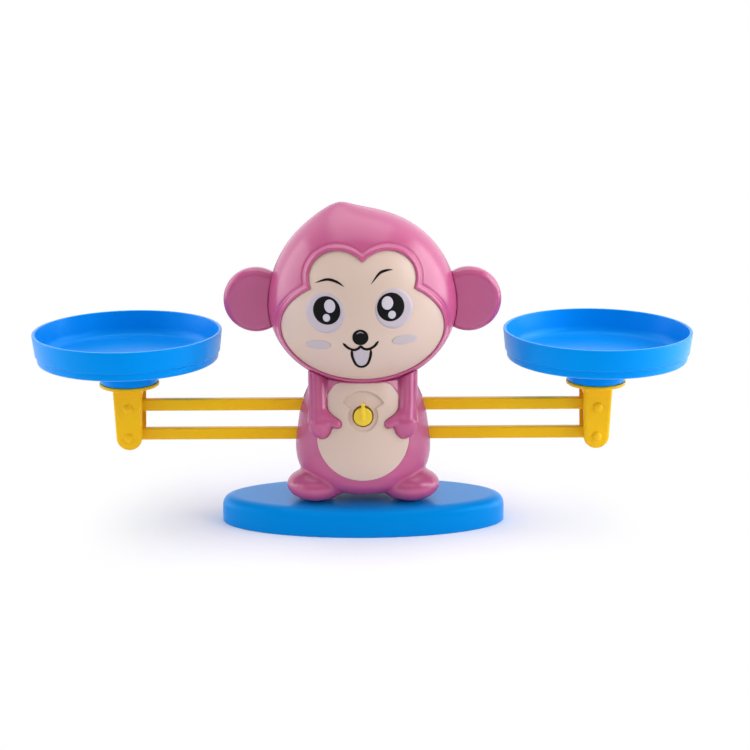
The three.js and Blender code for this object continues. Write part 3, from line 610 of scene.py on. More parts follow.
# Lines: the points that each passes through
LIP_LINES = [[(-9.5, 101.4), (-7.4, 99.2), (-4.5, 97.9), (-2.2, 98.6), (-1.0, 100.2)],
             [(-1.05, 100.25), (0.4, 98.7), (2.8, 98.3), (5.6, 99.8), (7.6, 102.5)],
             [(-5.3, 98.0), (-5.0, 94.0), (-3.2, 89.6), (-0.6, 88.2), (2.2, 89.8), (3.7, 94.2), (4.0, 98.2)]]
NOSE_GLINT = [[(-3.0, 106.2), (-1.3, 107.2), (0.6, 106.6)]]
BROWS = [[(-22.5, 130.2), (-17.1, 132.0), (-12.5, 131.2), (-8.7, 129.0)],
         [(4.1, 130.2), (8.0, 134.9), (11.0, 136.2), (14.5, 136.6)]]
LIP_WIDTH, GLINT_WIDTH, BROW_WIDTH = 1.3, 0.7, 1.25
FACE_TILT = radians(3.3)
INK_ROOT = 0.02 * MM
OVAL_STEPS, OVAL_ROWS, LINE_STEPS = 48, 7, 40
# Round ends widen over a few points from a least share; tapered ends follow a power of a sine
ROUND_END_RATE, ROUND_END_LEAST = 0.06, 0.25
TAPER_TIP, TAPER_POWER = 0.02, 0.7


def on_face(x, z, lift):
    """Point at x and z in millimetres, lifted from the face panel's front."""
    s = bpy.context.scene.scale_head
    inset = s.panel_inset - lift
    height = (s.rise if z * MM > s.centre_z else s.drop) - inset
    u, w = x * MM / (s.half_width - inset), (z * MM - s.centre_z) / height
    return (x * MM, -(s.front - inset) * max(1 - u * u - w * w, 0.0) ** 0.5, z * MM)


def inked(name, sheets, lift, material):
    """Pads of ink on the face panel, each from a sheet of flat points, its faces and its rim."""
    points, tops, rest = [], [], []
    for flat, faces, rim in sheets:
        top, under = len(points), len(points) + len(flat)
        points.extend(on_face(x, z, lift) for x, z in flat)
        points.extend(on_face(x, z, -INK_ROOT) for x, z in flat)
        tops.extend([top + i for i in face] for face in faces)
        rest.extend([under + i for i in reversed(face)] for face in faces)
        rest.extend((top + b, top + a, under + a, under + b) for a, b in zip(rim, rim[1:] + rim[:1]))
    obj = mesh_object(name, points, tops + rest, material)
    obj.data.polygons.foreach_set("use_smooth", [True] * len(tops) + [False] * len(rest))
    return obj


def oval_sheet(x, z, half_width, half_height):
    """Oval about a centre, tilted as the whole print is."""
    flat, faces = [(x, z)], []
    across, up = cos(FACE_TILT), sin(FACE_TILT)
    for row in range(1, OVAL_ROWS + 1):
        for i in range(OVAL_STEPS):
            angle = 2 * pi * i / OVAL_STEPS
            u = half_width * row / OVAL_ROWS * cos(angle)
            v = half_height * row / OVAL_ROWS * sin(angle)
            flat.append((x + u * across - v * up, z + u * up + v * across))
    for i in range(OVAL_STEPS):
        j = (i + 1) % OVAL_STEPS
        faces.append((0, 1 + i, 1 + j))
        for row in range(OVAL_ROWS - 1):
            inner, outer = 1 + row * OVAL_STEPS, 1 + (row + 1) * OVAL_STEPS
            faces.append((inner + i, outer + i, outer + j, inner + j))
    return flat, faces, list(range(1 + (OVAL_ROWS - 1) * OVAL_STEPS, 1 + OVAL_ROWS * OVAL_STEPS))


def smooth_path(knots):
    """Smooth curve through knots, as a Catmull-Rom spline."""
    knots = [np.array(knot, float) for knot in knots]
    path = [2 * knots[0] - knots[1]] + knots + [2 * knots[-1] - knots[-2]]
    out = []
    for i in range(1, len(path) - 2):
        p0, p1, p2, p3 = path[i - 1:i + 3]
        for k in range(LINE_STEPS):
            t = k / LINE_STEPS
            out.append(0.5 * (2 * p1 + (p2 - p0) * t + (2 * p0 - 5 * p1 + 4 * p2 - p3) * t * t
                              + (3 * p1 - p0 - 3 * p2 + p3) * t ** 3))
    out.append(knots[-1])
    return np.array(out)


def line_sheet(knots, width, tapered):
    """Ribbon along a path, tapered towards its ends or only rounded there."""
    path = smooth_path(knots)
    count = len(path)
    way = np.gradient(path, axis=0)
    way /= np.linalg.norm(way, axis=1)[:, None]
    side = np.stack([-way[:, 1], way[:, 0]], 1)
    t = np.linspace(0, 1, count)
    if tapered:
        share = np.sin(pi * np.clip(t, TAPER_TIP, 1 - TAPER_TIP)) ** TAPER_POWER
    else:
        ends = np.clip(np.minimum(t, 1 - t) * count * ROUND_END_RATE, 0, 1) ** 0.5
        share = np.maximum(ends, ROUND_END_LEAST)
    half = (width / 2 * share)[:, None]
    flat = [tuple(q) for row in (path - side * half, path, path + side * half) for q in row]
    faces = [(k * count + i, k * count + i + 1, (k + 1) * count + i + 1, (k + 1) * count + i)
             for k in range(2) for i in range(count - 1)]
    rim = list(range(count)) + [2 * count - 1] + list(range(3 * count - 1, 2 * count - 1, -1)) + [count]
    return flat, faces, rim


class SCALE_OT_print(bpy.types.Operator):
    """Builds the printed eyes, nose, mouth, brows and blushes"""
    bl_idname = "scale.face_print"
    bl_label = "Printed face"

    def execute(self, context):
        # Piece, its sheets, the layer of ink that it ends on, and its colour
        prints = [
            ("print_halo", [oval_sheet(*oval) for oval in HALOS], 1, "lilac"),
            ("print_blush", [oval_sheet(*oval) for oval in BLUSHES], 1, "rose"),
            ("print_eyes", [oval_sheet(*oval) for oval in EYES], 2, "black"),
            ("print_glints", [oval_sheet(*oval) for oval in GLINTS], 3, "white"),
            ("print_tongue", [oval_sheet(*oval) for oval in TONGUE], 1, "lilac"),
            ("print_mouth", [line_sheet(line, LIP_WIDTH, False) for line in LIP_LINES], 2, "black"),
            ("print_nose", [oval_sheet(*oval) for oval in NOSE], 3, "black"),
            ("print_nose_glint", [line_sheet(line, GLINT_WIDTH, True) for line in NOSE_GLINT], 4, "grey"),
            ("print_brows", [line_sheet(line, BROW_WIDTH, True) for line in BROWS], 2, "black"),
        ]
        lift = context.scene.scale_head.print_lift
        for name, sheets, layer, ink in prints:
            place(inked(name, sheets, lift * layer, material_of(ink)), "stand", [])
        return {"FINISHED"}


# Body, with limbs given for the right side and mirrored

BODY_HEIGHTS = np.array(mm(16.7, 18.6, 21.9, 28.3, 38.6, 50, 65.3, 75.2, 81))
BODY_WIDTHS = np.array(mm(12, 20, 26.4, 31.5, 34.3, 33.5, 30.3, 25.7, 22.5))
PAST_KNOTS = 0.5
BODY_LOW_ROUND, BODY_TOP_ROUND = mm(2, 1)
BODY_SEAM_ROUND = 0.3 * MM
HEAD_PLAY = 0.15 * MM
SHOULDER, WRIST = mm(22.4, -7.5, 84), mm(21.8, -20, 58.5)
SHOULDER_RADIUS, WRIST_RADIUS = mm(5, 5.2)
PALM, PALM_RADII, PALM_BLEND = mm(20.3, -20.4, 55.6), mm(5.2, 4.6, 6), 5 * MM
THUMB_ROOT, THUMB_TIP = mm(18.9, -21.2, 60.8), mm(12.9, -24, 58)
THUMB_ROOT_RADIUS, THUMB_TIP_RADIUS, THUMB_BLEND = mm(3, 2.3, 1.6)
FOOT, FOOT_RADII = mm(23.6, -8.2, 22), mm(15, 13.4, 8.4)
SOLE_Z, SOLE_ROUND = mm(14.3, 0.8)
LIMB_SINK, ARM_BLEND, FOOT_BLEND = mm(1.2, 0.9, 1.6)
BEAM_SLOT_HALF, BEAM_SLOT_ROUND = mm(60, 3, 15.8), 0.5 * MM
BELLY_RISE, BELLY_DROP, BELLY_TOP_Z, BELLY_CORNER = mm(32.6, 20.7, 77.2, 2)
BELLY_EDGE_Y = -6 * MM
BELLY_SEAT, BELLY_SEAT_ROUND = mm(1.7, 0.06)
BELLY_PROUD, BELLY_BACK, BELLY_LAP = mm(0.12, 1.6, 0.3)
BELLY_ROUND, BELLY_EDGE_ROUND, LIMB_PLAY = mm(0.2, 0.12, 0.1)
DIAL_RADIUS, DIAL_FAN_RADIUS, DIAL_FAN_ROOT = mm(7.3, 12.1, 2)
DIAL_FAN_SPREAD = radians(58)
DIAL_BLEND, DIAL_DEPTH, DIAL_EDGE = mm(0.8, 0.95, 0.5)
KNOB_HOLE, KNOB_HOLE_FRONT = mm(5.1, -40)
KNOB_FRONT, KNOB_BACK, KNOB_ROUND = mm(-25.4, -22.6, 0.5)
POINTER_Y, POINTER_RISE, POINTER_ROUND, POINTER_BLEND = mm(-25.5, 2.95, 0.35, 0.3)
POINTER_HALF = mm(0.9, 0.9, 4.45)
SHAFT_RADIUS, SHAFT_FRONT, SHAFT_REAR, SHAFT_ROUND = mm(3, -23.5, 16.7, 0.2)
BODY_FRONT_STEP, BODY_REAR_STEP, BELLY_STEP, KNOB_STEP = mm(0.55, 0.6, 0.4, 0.3)


def body_width(z):
    """Half width at a height, on a smooth curve through the knots that runs on a little past its ends."""
    x, y = BODY_HEIGHTS, BODY_WIDTHS
    slope = np.gradient(y, x)
    i = np.clip(np.searchsorted(x, z) - 1, 0, len(x) - 2)
    h = x[i + 1] - x[i]
    t = np.clip((z - x[i]) / h, -PAST_KNOTS, 1 + PAST_KNOTS)
    return ((2 * t ** 3 - 3 * t ** 2 + 1) * y[i] + (t ** 3 - 2 * t ** 2 + t) * h * slope[i]
            + (-2 * t ** 3 + 3 * t ** 2) * y[i + 1] + (t ** 3 - t ** 2) * h * slope[i + 1])


def body_field(p):
    """Solid pear of the body, with its own depth to the front and to the rear."""
    s = bpy.context.scene.scale_body
    x, y, z = p
    share = np.where(y < 0, s.front, s.rear)
    r = np.sqrt(x * x + (y / share) ** 2)
    lean = (body_width(z + MM / 2) - body_width(z - MM / 2)) / MM
    stretch = np.where(r > TINY * MM, np.sqrt(x * x + y * y / share ** 4) / np.maximum(r, TINY * MM), 1)
    side = (r - body_width(z)) / np.sqrt(1 + lean * lean) / np.maximum(stretch, 1)
    return both(both(side, BODY_HEIGHTS[0] - z, BODY_LOW_ROUND), z - BODY_HEIGHTS[-1], BODY_TOP_ROUND)


def limbs_field(p):
    """Arms with mitten hands and thumbs, and feet with flat soles."""
    q = (abs(p[0]), p[1], p[2])
    arm = capsule(q, SHOULDER, WRIST, SHOULDER_RADIUS, WRIST_RADIUS)
    arm = union(arm, ellipsoid(q, PALM, PALM_RADII), PALM_BLEND)
    arm = union(arm, capsule(q, THUMB_ROOT, THUMB_TIP, THUMB_ROOT_RADIUS, THUMB_TIP_RADIUS), THUMB_BLEND)
    foot = both(ellipsoid(q, FOOT, FOOT_RADII), SOLE_Z - q[2], SOLE_ROUND)
    return arm, foot


def belly_outline(p):
    """Egg of the belly panel with a flat top."""
    s = bpy.context.scene.scale_body
    oval = flat_oval(p[0], p[2], (0, s.belly_z), s.belly_half, BELLY_RISE, BELLY_DROP)
    return both(oval, p[2] - BELLY_TOP_Z, BELLY_CORNER)


def knob_hole(p):
    """Room round the knob's shaft, from the front to the parting plane."""
    return rod(p, 1, (0, 0, bpy.context.scene.scale_balance.upper_z), KNOB_HOLE, KNOB_HOLE_FRONT, 0)


def opened_shell(shell, p, side):
    """Half of the body's shell, with its slots for the beams and its seat for the head and the neck."""
    b = bpy.context.scene.scale_balance
    slot = block(p, (0, 0, (b.upper_z + b.lower_z) / 2), BEAM_SLOT_HALF, BEAM_SLOT_ROUND)
    half = both(cut(shell, slot, HOLE_ROUND), side, BODY_SEAM_ROUND)
    return neck_hole(cut(half, head_field(p, HEAD_PLAY), HOLE_ROUND), p)


def body_front_field(p):
    """Front shell with arms and feet, a seat for the belly panel and a hole for the knob's shaft."""
    pear = body_field(p)
    arm, foot = limbs_field(p)
    outside = -pear - LIMB_SINK
    seat = both(both(belly_outline(p), -pear - BELLY_SEAT), p[1] - BELLY_EDGE_Y)
    shell = cut(pear, pear + bpy.context.scene.scale_body.wall)
    shell = cut(shell, seat, BELLY_SEAT_ROUND)
    shell = union(shell, both(arm, outside), ARM_BLEND)
    shell = union(shell, both(foot, outside), FOOT_BLEND)
    return opened_shell(cut(shell, knob_hole(p)), p, p[1] + SEAM)


def body_rear_field(p):
    """Rear shell with the posts and the holes of its screws."""
    wall = bpy.context.scene.scale_body.wall
    pear = body_field(p)
    posts = both(rods_from_rear(p, BODY_SCREWS, DRIVER_HOLE + DRIVER_WALL, 0), pear + wall / 2)
    shell = np.minimum(cut(pear, pear + wall), posts)
    shell = cut(shell, rods_from_rear(p, BODY_SCREWS, DRIVER_HOLE, SCREW_SHELF), HOLE_ROUND)
    return opened_shell(shell, p, SEAM - p[1])


def dial_outline(p):
    """Round recess of the knob, joined to a fan that the pointer sweeps."""
    x, z = p[0], p[2] - bpy.context.scene.scale_balance.upper_z
    r = np.sqrt(x * x + z * z)
    past_spread = (np.arctan2(abs(x), z) - DIAL_FAN_SPREAD) * np.maximum(r, DIAL_FAN_ROOT)
    fan = both(r - DIAL_FAN_RADIUS, past_spread, DIAL_BLEND)
    return union(r - DIAL_RADIUS, fan, DIAL_BLEND)


def belly_panel_field(p):
    """Cream panel that follows the body's surface, with the dial sunk in it and room for hands and feet."""
    pear = body_field(p)
    layer = both(pear - BELLY_PROUD, -pear - BELLY_BACK, BELLY_ROUND)
    panel = both(both(layer, belly_outline(p) - BELLY_LAP, BELLY_EDGE_ROUND), p[1] - BELLY_EDGE_Y)
    panel = cut(panel, both(dial_outline(p), -pear - DIAL_DEPTH), DIAL_EDGE)
    panel = cut(cut(panel, knob_hole(p)), np.minimum(*limbs_field(p)) - LIMB_PLAY)
    return cut(panel, head_field(p, HEAD_PLAY))


def knob_field(p):
    """Round knob with a raised pointer and its shaft."""
    z = bpy.context.scene.scale_balance.upper_z
    radius = bpy.context.scene.scale_body.knob_radius
    disc = rod(p, 1, (0, 0, z), radius, KNOB_FRONT, KNOB_BACK, KNOB_ROUND)
    pointer = block(p, (0, POINTER_Y, z + POINTER_RISE), POINTER_HALF, POINTER_ROUND)
    shaft = rod(p, 1, (0, 0, z), SHAFT_RADIUS, SHAFT_FRONT, SHAFT_REAR, SHAFT_ROUND)
    return np.minimum(union(disc, pointer, POINTER_BLEND), shaft)


class SCALE_OT_body(bpy.types.Operator):
    """Builds the body's front shell with its limbs, and its rear shell"""
    bl_idname = "scale.body"
    bl_label = "Body"

    def execute(self, context):
        s = context.scene.scale_body
        half, top = BODY_WIDTHS.max(), BODY_HEIGHTS[-1]
        over_feet = FOOT[0] + FOOT_RADII[0]
        front_spans = ((-over_feet, over_feet), (-half * s.front, 0), (SOLE_Z, top))
        rear_spans = ((-half, half), (0, half * s.rear), (BODY_HEIGHTS[0], top))
        moulded_piece("body_front_shell", body_front_field, front_spans, BODY_FRONT_STEP,
                      material_of("pink"), "stand", ["body_front"])
        moulded_piece("body_rear_shell", body_rear_field, rear_spans, BODY_REAR_STEP,
                      material_of("pink"), "stand", ["body_rear"])
        return {"FINISHED"}


class SCALE_OT_belly(bpy.types.Operator):
    """Builds the belly panel with its dial"""
    bl_idname = "scale.belly"
    bl_label = "Belly panel"

    def execute(self, context):
        s = context.scene.scale_body
        half = s.belly_half + BELLY_LAP
        front = BODY_WIDTHS.max() * s.front + BELLY_PROUD
        tall = (s.belly_z - BELLY_DROP - BELLY_LAP, BELLY_TOP_Z + BELLY_LAP)
        spans = ((-half, half), (-front, BELLY_EDGE_Y), tall)
        moulded_piece("belly_cover", belly_panel_field, spans, BELLY_STEP,
                      material_of("cream"), "stand", ["belly_panel"])
        return {"FINISHED"}


class SCALE_OT_knob(bpy.types.Operator):
    """Builds the knob with its pointer"""
    bl_idname = "scale.knob"
    bl_label = "Knob"

    def execute(self, context):
        radius, z = context.scene.scale_body.knob_radius, context.scene.scale_balance.upper_z
        spans = ((-radius, radius), (POINTER_Y - POINTER_HALF[1], SHAFT_REAR),
                 (z - radius, z + POINTER_RISE + POINTER_HALF[2]))
        moulded_piece("pointer_knob", knob_field, spans, KNOB_STEP,
                      material_of("lemon"), "trim", ["trim_knob"])
        return {"FINISHED"}


# Base, beams and holders

BASE_ROUND, BASE_FOOT_ROUND, BASE_WALL = mm(6.5, 0.5, 2.4)
RIB_HALF, RIB_PITCH = mm(0.9, 24)
BELOW_BASE = 1 * MM
BEAM_DEPTH, BEAM_HEIGHT, BEAM_ROUND = mm(2, 3, 0.5)
EYE_RADIUS, EYE_DEPTH, EYE_BORE = mm(4.2, 7.25, 1.8)
HUB_RADIUS, HUB_DEPTH = mm(4.8, 4)
UPPER_BORE, LOWER_BORE = mm(3.3, 2.3)
RIM_ROUND = 0.4 * MM
HOLDER_FOOT_HALF, HOLDER_FLARE, HOLDER_DEPTH, HOLDER_ROUND, HOLDER_TOP_Z = mm(6.5, 0.9, 9.75, 1.9, 73)
FLANGE_RADIUS, FLANGE_LOW_Z, FLANGE_TOP_Z, FLANGE_ROUND, FLANGE_BLEND = mm(15, 72, 73.8, 0.5, 1)
PLUG_RADIUS, PLUG_BORE, PLUG_TOP_Z, PLUG_ROUND = mm(12.4, 10.6, 78.8, 0.3)
ABOVE_PLUG_Z = 90 * MM
FORK_HALF = mm(32.4, 7.65, 13.5)
FORK_X, FORK_RISE, FORK_ROUND = mm(-27.6, 1.1, 0.5)
PIN_HOLE = 1.7 * MM
THROUGH = 20 * MM
BASE_STEP, BEAM_STEP, HOLDER_STEP = mm(0.75, 0.5, 0.4)


def base_field(p):
    """Oval plate with a round upper edge, hollow underneath, with ribs and screw posts."""
    b = bpy.context.scene.scale_balance
    x, y, z = p
    oval = flat_oval(x, y, (0, 0), b.base_length, b.base_depth, b.base_depth)
    plate = both(both(oval, z - b.base_height, BASE_ROUND), -z, BASE_FOOT_ROUND)
    hollow = both(both(oval + BASE_WALL, z - b.base_height + BASE_WALL), -z - BELOW_BASE)
    lengthways = abs(y) - RIB_HALF
    across = abs((x % RIB_PITCH) - RIB_PITCH / 2) - RIB_HALF
    hollow = cut(hollow, np.minimum(lengthways, across))
    for screw in BASE_SCREWS:
        hollow = cut(hollow, rod(p, 2, (*screw, 0), DRIVER_HOLE + DRIVER_WALL, SCREW_SHELF, b.base_height))
        hollow = np.minimum(hollow, rod(p, 2, (*screw, 0), DRIVER_HOLE, -BELOW_BASE, SCREW_SHELF))
    return cut(plate, hollow, HOLE_ROUND)


def beam_field(p, z, bore):
    """Flat bar with a hub in the middle and a wide eye at each end."""
    b = bpy.context.scene.scale_balance
    q = (abs(p[0]), p[1], p[2])
    bar = block(p, (0, 0, z), (b.reach, BEAM_DEPTH, BEAM_HEIGHT), BEAM_ROUND)
    eye = rod(q, 1, (b.reach, 0, z), EYE_RADIUS, -EYE_DEPTH, EYE_DEPTH, RIM_ROUND)
    hub = rod(p, 1, (0, 0, z), HUB_RADIUS, -HUB_DEPTH, HUB_DEPTH, RIM_ROUND)
    whole = union(union(bar, eye, BEAM_ROUND), hub, BEAM_ROUND)
    whole = cut(whole, rod(q, 1, (b.reach, 0, z), EYE_BORE, -THROUGH, THROUGH))
    return cut(whole, rod(p, 1, (0, 0, z), bore, -THROUGH, THROUGH))


def holder_field(p, side):
    """Upright fork round the ends of both beams, with a flange and a hollow plug for the pan."""
    b = bpy.context.scene.scale_balance
    x, y, z = side * p[0] - b.reach, p[1], p[2]
    q = (x, y, z)
    share = np.clip((z - b.lower_z) / (FLANGE_LOW_Z - b.lower_z), 0, 1)
    outline = np.sqrt(x * x + np.minimum(z - b.lower_z, 0) ** 2) - HOLDER_FOOT_HALF - HOLDER_FLARE * share
    upright = both(both(outline, abs(y) - HOLDER_DEPTH, HOLDER_ROUND), z - HOLDER_TOP_Z)
    flange = rod(q, 2, (0, 0, 0), FLANGE_RADIUS, FLANGE_LOW_Z, FLANGE_TOP_Z, FLANGE_ROUND)
    plug = cut(rod(q, 2, (0, 0, 0), PLUG_RADIUS, HOLDER_TOP_Z, PLUG_TOP_Z, PLUG_ROUND),
               rod(q, 2, (0, 0, 0), PLUG_BORE, FLANGE_TOP_Z, ABOVE_PLUG_Z))
    fork = block(q, (FORK_X, 0, (b.lower_z + b.upper_z) / 2 + FORK_RISE), FORK_HALF, FORK_ROUND)
    whole = cut(np.minimum(union(upright, flange, FLANGE_BLEND), plug), fork, HOLE_ROUND)
    for pin in (b.upper_z, b.lower_z):
        whole = cut(whole, rod(q, 1, (0, 0, pin), PIN_HOLE, -THROUGH, THROUGH))
    return whole


class SCALE_OT_base(bpy.types.Operator):
    """Builds the oval base"""
    bl_idname = "scale.base"
    bl_label = "Base"

    def execute(self, context):
        b = context.scene.scale_balance
        spans = ((-b.base_length, b.base_length), (-b.base_depth, b.base_depth), (0, b.base_height))
        moulded_piece("oval_base", base_field, spans, BASE_STEP,
                      material_of("blue"), "stand", ["base"])
        return {"FINISHED"}


class SCALE_OT_beams(bpy.types.Operator):
    """Builds the upper and the lower beam"""
    bl_idname = "scale.beams"
    bl_label = "Beams"

    def execute(self, context):
        b = context.scene.scale_balance
        end = b.reach + EYE_RADIUS
        for word, z, bore in (("upper", b.upper_z, UPPER_BORE), ("lower", b.lower_z, LOWER_BORE)):
            spans = ((-end, end), (-EYE_DEPTH, EYE_DEPTH), (z - HUB_RADIUS, z + HUB_RADIUS))
            moulded_piece("beam_" + word, lambda p, z=z, bore=bore: beam_field(p, z, bore), spans, BEAM_STEP,
                          material_of("yellow"), word + "_beam", [word + "_beam"])
        return {"FINISHED"}


class SCALE_OT_holders(bpy.types.Operator):
    """Builds the upright holders of the pans"""
    bl_idname = "scale.holders"
    bl_label = "Holders"

    def execute(self, context):
        b = context.scene.scale_balance
        for word, side in SIDES:
            x = side * b.reach
            spans = ((x - FLANGE_RADIUS, x + FLANGE_RADIUS), (-FLANGE_RADIUS, FLANGE_RADIUS),
                     (b.lower_z - HOLDER_FOOT_HALF, PLUG_TOP_Z))
            moulded_piece("pan_holder_" + word, lambda p, side=side: holder_field(p, side), spans,
                          HOLDER_STEP, material_of("yellow"), "carrier_" + word, ["holder_" + word])
        return {"FINISHED"}


# Pans

PAN_STEPS = 160
PAN_HEIGHT, PAN_FLOOR, PAN_RIM_WALL = mm(14.8, 1.8, 1.6)
PAN_FOOT_RADIUS, PAN_FOOT_HEIGHT = mm(14.5, 11.65)
PAN_LOW_INSET, PAN_FLOOR_INSET = mm(2, 3.7)
PAN_STEP_LOW, PAN_STEP_LOW_INSET = mm(3.7, 2.1)
PAN_STEP_TOP, PAN_STEP_TOP_INSET = mm(4.5, 1.1)
PAN_ROUNDS = mm(0, 0.4, 0.3, 0.6, 1.2, 3.2, 0.2, 0.3, 0.5, 0.5, 5.5, 0)
ROUND_STEPS = 6
ROUND_SHARE = 0.49
LEAST_TANGENT = 1e-3


def rounded(corners, radii):
    """Outline whose corners are turned into arcs, each within its share of the two sides."""
    out = []
    for i, (corner, radius) in enumerate(zip(corners, radii)):
        if radius <= 0:
            out.append(corner)
            continue
        before, middle, after = Vector(corners[i - 1]), Vector(corner), Vector(corners[i + 1])
        back, onward = before - middle, after - middle
        tangent = max(np.tan(back.angle(onward) / 2), LEAST_TANGENT)
        reach = min(radius / tangent, back.length * ROUND_SHARE, onward.length * ROUND_SHARE)
        start, end = middle + back.normalized() * reach, middle + onward.normalized() * reach
        for k in range(ROUND_STEPS + 1):
            t = k / ROUND_STEPS
            out.append(tuple(start * (1 - t) ** 2 + middle * 2 * t * (1 - t) + end * t ** 2))
    return out


def pan_section():
    """Half section of a pan and its foot, as radius and height, from the axis back to the axis."""
    b = bpy.context.scene.scale_balance
    rim, top = b.pan_radius, b.rim_z
    low = top - PAN_HEIGHT
    foot = low - PAN_FOOT_HEIGHT
    bore = PAN_FOOT_RADIUS - PAN_FLOOR
    corners = [(0, low), (bore, low), (bore, foot), (PAN_FOOT_RADIUS, foot), (PAN_FOOT_RADIUS, low),
               (rim - PAN_LOW_INSET, low), (rim - PAN_STEP_LOW_INSET, low + PAN_STEP_LOW),
               (rim - PAN_STEP_TOP_INSET, low + PAN_STEP_TOP), (rim, top), (rim - PAN_RIM_WALL, top),
               (rim - PAN_FLOOR_INSET, low + PAN_FLOOR), (0, low + PAN_FLOOR)]
    return rounded(corners, PAN_ROUNDS)


def turned_tree(material):
    """Tree that turns the points of a half section, in order, about an upright axis."""
    tree, given = new_tree("Turned piece", {"Section": "Geometry", "Steps": "Int", "Axis": "Vector"})
    section, steps = given["Section"], given["Steps"]
    size = add(tree, "GeometryNodeAttributeDomainSize", (-8, 1), links={"Geometry": section})
    count = size.outputs["Point Count"]
    columns = add(tree, "ShaderNodeMath", (-7, 1), {"operation": "ADD"}, {1: 1.0}, {0: steps})
    grid = add(tree, "GeometryNodeMeshGrid", (-6, 1),
               links={"Vertices X": columns.outputs[0], "Vertices Y": count})
    index = add(tree, "GeometryNodeInputIndex", (-8, -1)).outputs[0]
    row = add(tree, "ShaderNodeMath", (-7, -1), {"operation": "MODULO"}, links={0: index, 1: count})
    share = add(tree, "ShaderNodeMath", (-7, -2), {"operation": "DIVIDE"}, links={0: index, 1: count})
    column = add(tree, "ShaderNodeMath", (-6, -2), {"operation": "FLOOR"}, links={0: share.outputs[0]})
    turns = add(tree, "ShaderNodeMath", (-5, -2), {"operation": "DIVIDE"},
                links={0: column.outputs[0], 1: steps})
    angle = add(tree, "ShaderNodeMath", (-4, -2), {"operation": "MULTIPLY"}, {1: 2 * pi},
                {0: turns.outputs[0]})
    spot = add(tree, "GeometryNodeInputPosition", (-6, -1))
    corner = add(tree, "GeometryNodeSampleIndex", (-5, -1), {"data_type": "FLOAT_VECTOR", "domain": "POINT"},
                 links={"Geometry": section, "Value": spot.outputs[0], "Index": row.outputs[0]})
    spun = add(tree, "ShaderNodeVectorRotate", (-3, -1), {"rotation_type": "Z_AXIS"},
               links={"Vector": corner.outputs["Value"], "Angle": angle.outputs[0]})
    moved = add(tree, "ShaderNodeVectorMath", (-2, -1), {"operation": "ADD"},
                links={0: spun.outputs[0], 1: given["Axis"]})
    shaped = add(tree, "GeometryNodeSetPosition", (-1, 0),
                 links={"Geometry": grid.outputs["Mesh"], "Position": moved.outputs[0]})
    closed = add(tree, "GeometryNodeMergeByDistance", (0, 0), values={"Distance": TINY},
                 links={"Geometry": shaped.outputs["Geometry"]})
    smooth = add(tree, "GeometryNodeSetShadeSmooth", (1, 0), links={"Geometry": closed.outputs["Geometry"]})
    end_tree(tree, smooth.outputs["Geometry"], material)
    return tree


class SCALE_OT_pans(bpy.types.Operator):
    """Builds the two pans"""
    bl_idname = "scale.pans"
    bl_label = "Pans"

    def execute(self, context):
        # The pans' blue holds painted light, lighter than the base's blue
        plastic = material_of("pan_blue")
        tree = turned_tree(plastic)
        section = [(radius, 0, z) for radius, z in pan_section()]
        for word, side in SIDES:
            axis = (side * context.scene.scale_balance.reach, 0, 0)
            pan = grown("pan_" + word, section, tree, {"Steps": PAN_STEPS, "Axis": axis}, plastic)
            place(pan, "pan_" + word, ["tray_" + word])
        return {"FINISHED"}


# Pins and screws

SHANK_SIDES, HEAD_SEGMENTS, HEAD_RINGS = 24, 32, 16
PIN_HEAD_RADIUS, PIN_RADIUS, PIN_LENGTH = mm(2.55, 1.45, 19.6)
SCREW_HEAD_RADIUS, SCREW_HEAD_LIFT, SCREW_RADIUS, SCREW_LENGTH = mm(2.7, 0.9, 1.15, 5.5)
SCREW_PLAY = 0.2 * MM
PIN_DOME, SCREW_DOME = 0.5, 0.4
HEAD_TO_FRONT, HEAD_TO_REAR, HEAD_DOWN = ((radians(turn), 0, 0) for turn in (90, -90, 180))


def fastener_tree(name, head_radius, head_lift, dome, shank_radius, riveted, material):
    """Tree that puts a fastener with a domed head on each point; a riveted one has a head at both ends."""
    tree, given = new_tree(name, {"Points": "Geometry", "Shank length": "Float", "Turn": "Vector"})
    depth = given["Shank length"]
    stem = add(tree, "GeometryNodeMeshCylinder", (-5, 1),
               values={"Vertices": SHANK_SIDES, "Radius": shank_radius}, links={"Depth": depth})
    half = add(tree, "ShaderNodeMath", (-5, 2), {"operation": "MULTIPLY"}, {1: -0.5}, {0: depth})
    down = add(tree, "ShaderNodeCombineXYZ", (-4, 2), links={"Z": half.outputs[0]})
    shank = add(tree, "GeometryNodeTransform", (-4, 1),
                links={"Geometry": stem.outputs["Mesh"], "Translation": down.outputs[0]})
    ball = add(tree, "GeometryNodeMeshUVSphere", (-5, -1),
               values={"Segments": HEAD_SEGMENTS, "Rings": HEAD_RINGS, "Radius": head_radius})
    cap = add(tree, "GeometryNodeTransform", (-4, -1),
              values={"Scale": (1, 1, dome), "Translation": (0, 0, head_lift)},
              links={"Geometry": ball.outputs["Mesh"]})
    joined = add(tree, "GeometryNodeJoinGeometry", (-3, 0))
    ends = [shank, cap]
    if riveted:
        whole = add(tree, "ShaderNodeVectorMath", (-3, 2), {"operation": "SCALE"}, {"Scale": 2.0},
                    {0: down.outputs[0]})
        ends.append(add(tree, "GeometryNodeTransform", (-3, -2),
                        links={"Geometry": cap.outputs["Geometry"], "Translation": whole.outputs[0]}))
    for end in ends:
        tree.links.new(end.outputs["Geometry"], joined.inputs["Geometry"])
    smooth = add(tree, "GeometryNodeSetShadeSmooth", (-2, 0), links={"Geometry": joined.outputs["Geometry"]})
    spread = add(tree, "GeometryNodeInstanceOnPoints", (-1, 0),
                 links={"Points": given["Points"], "Instance": smooth.outputs["Geometry"],
                        "Rotation": given["Turn"]})
    end_tree(tree, spread.outputs["Instances"], material)
    return tree


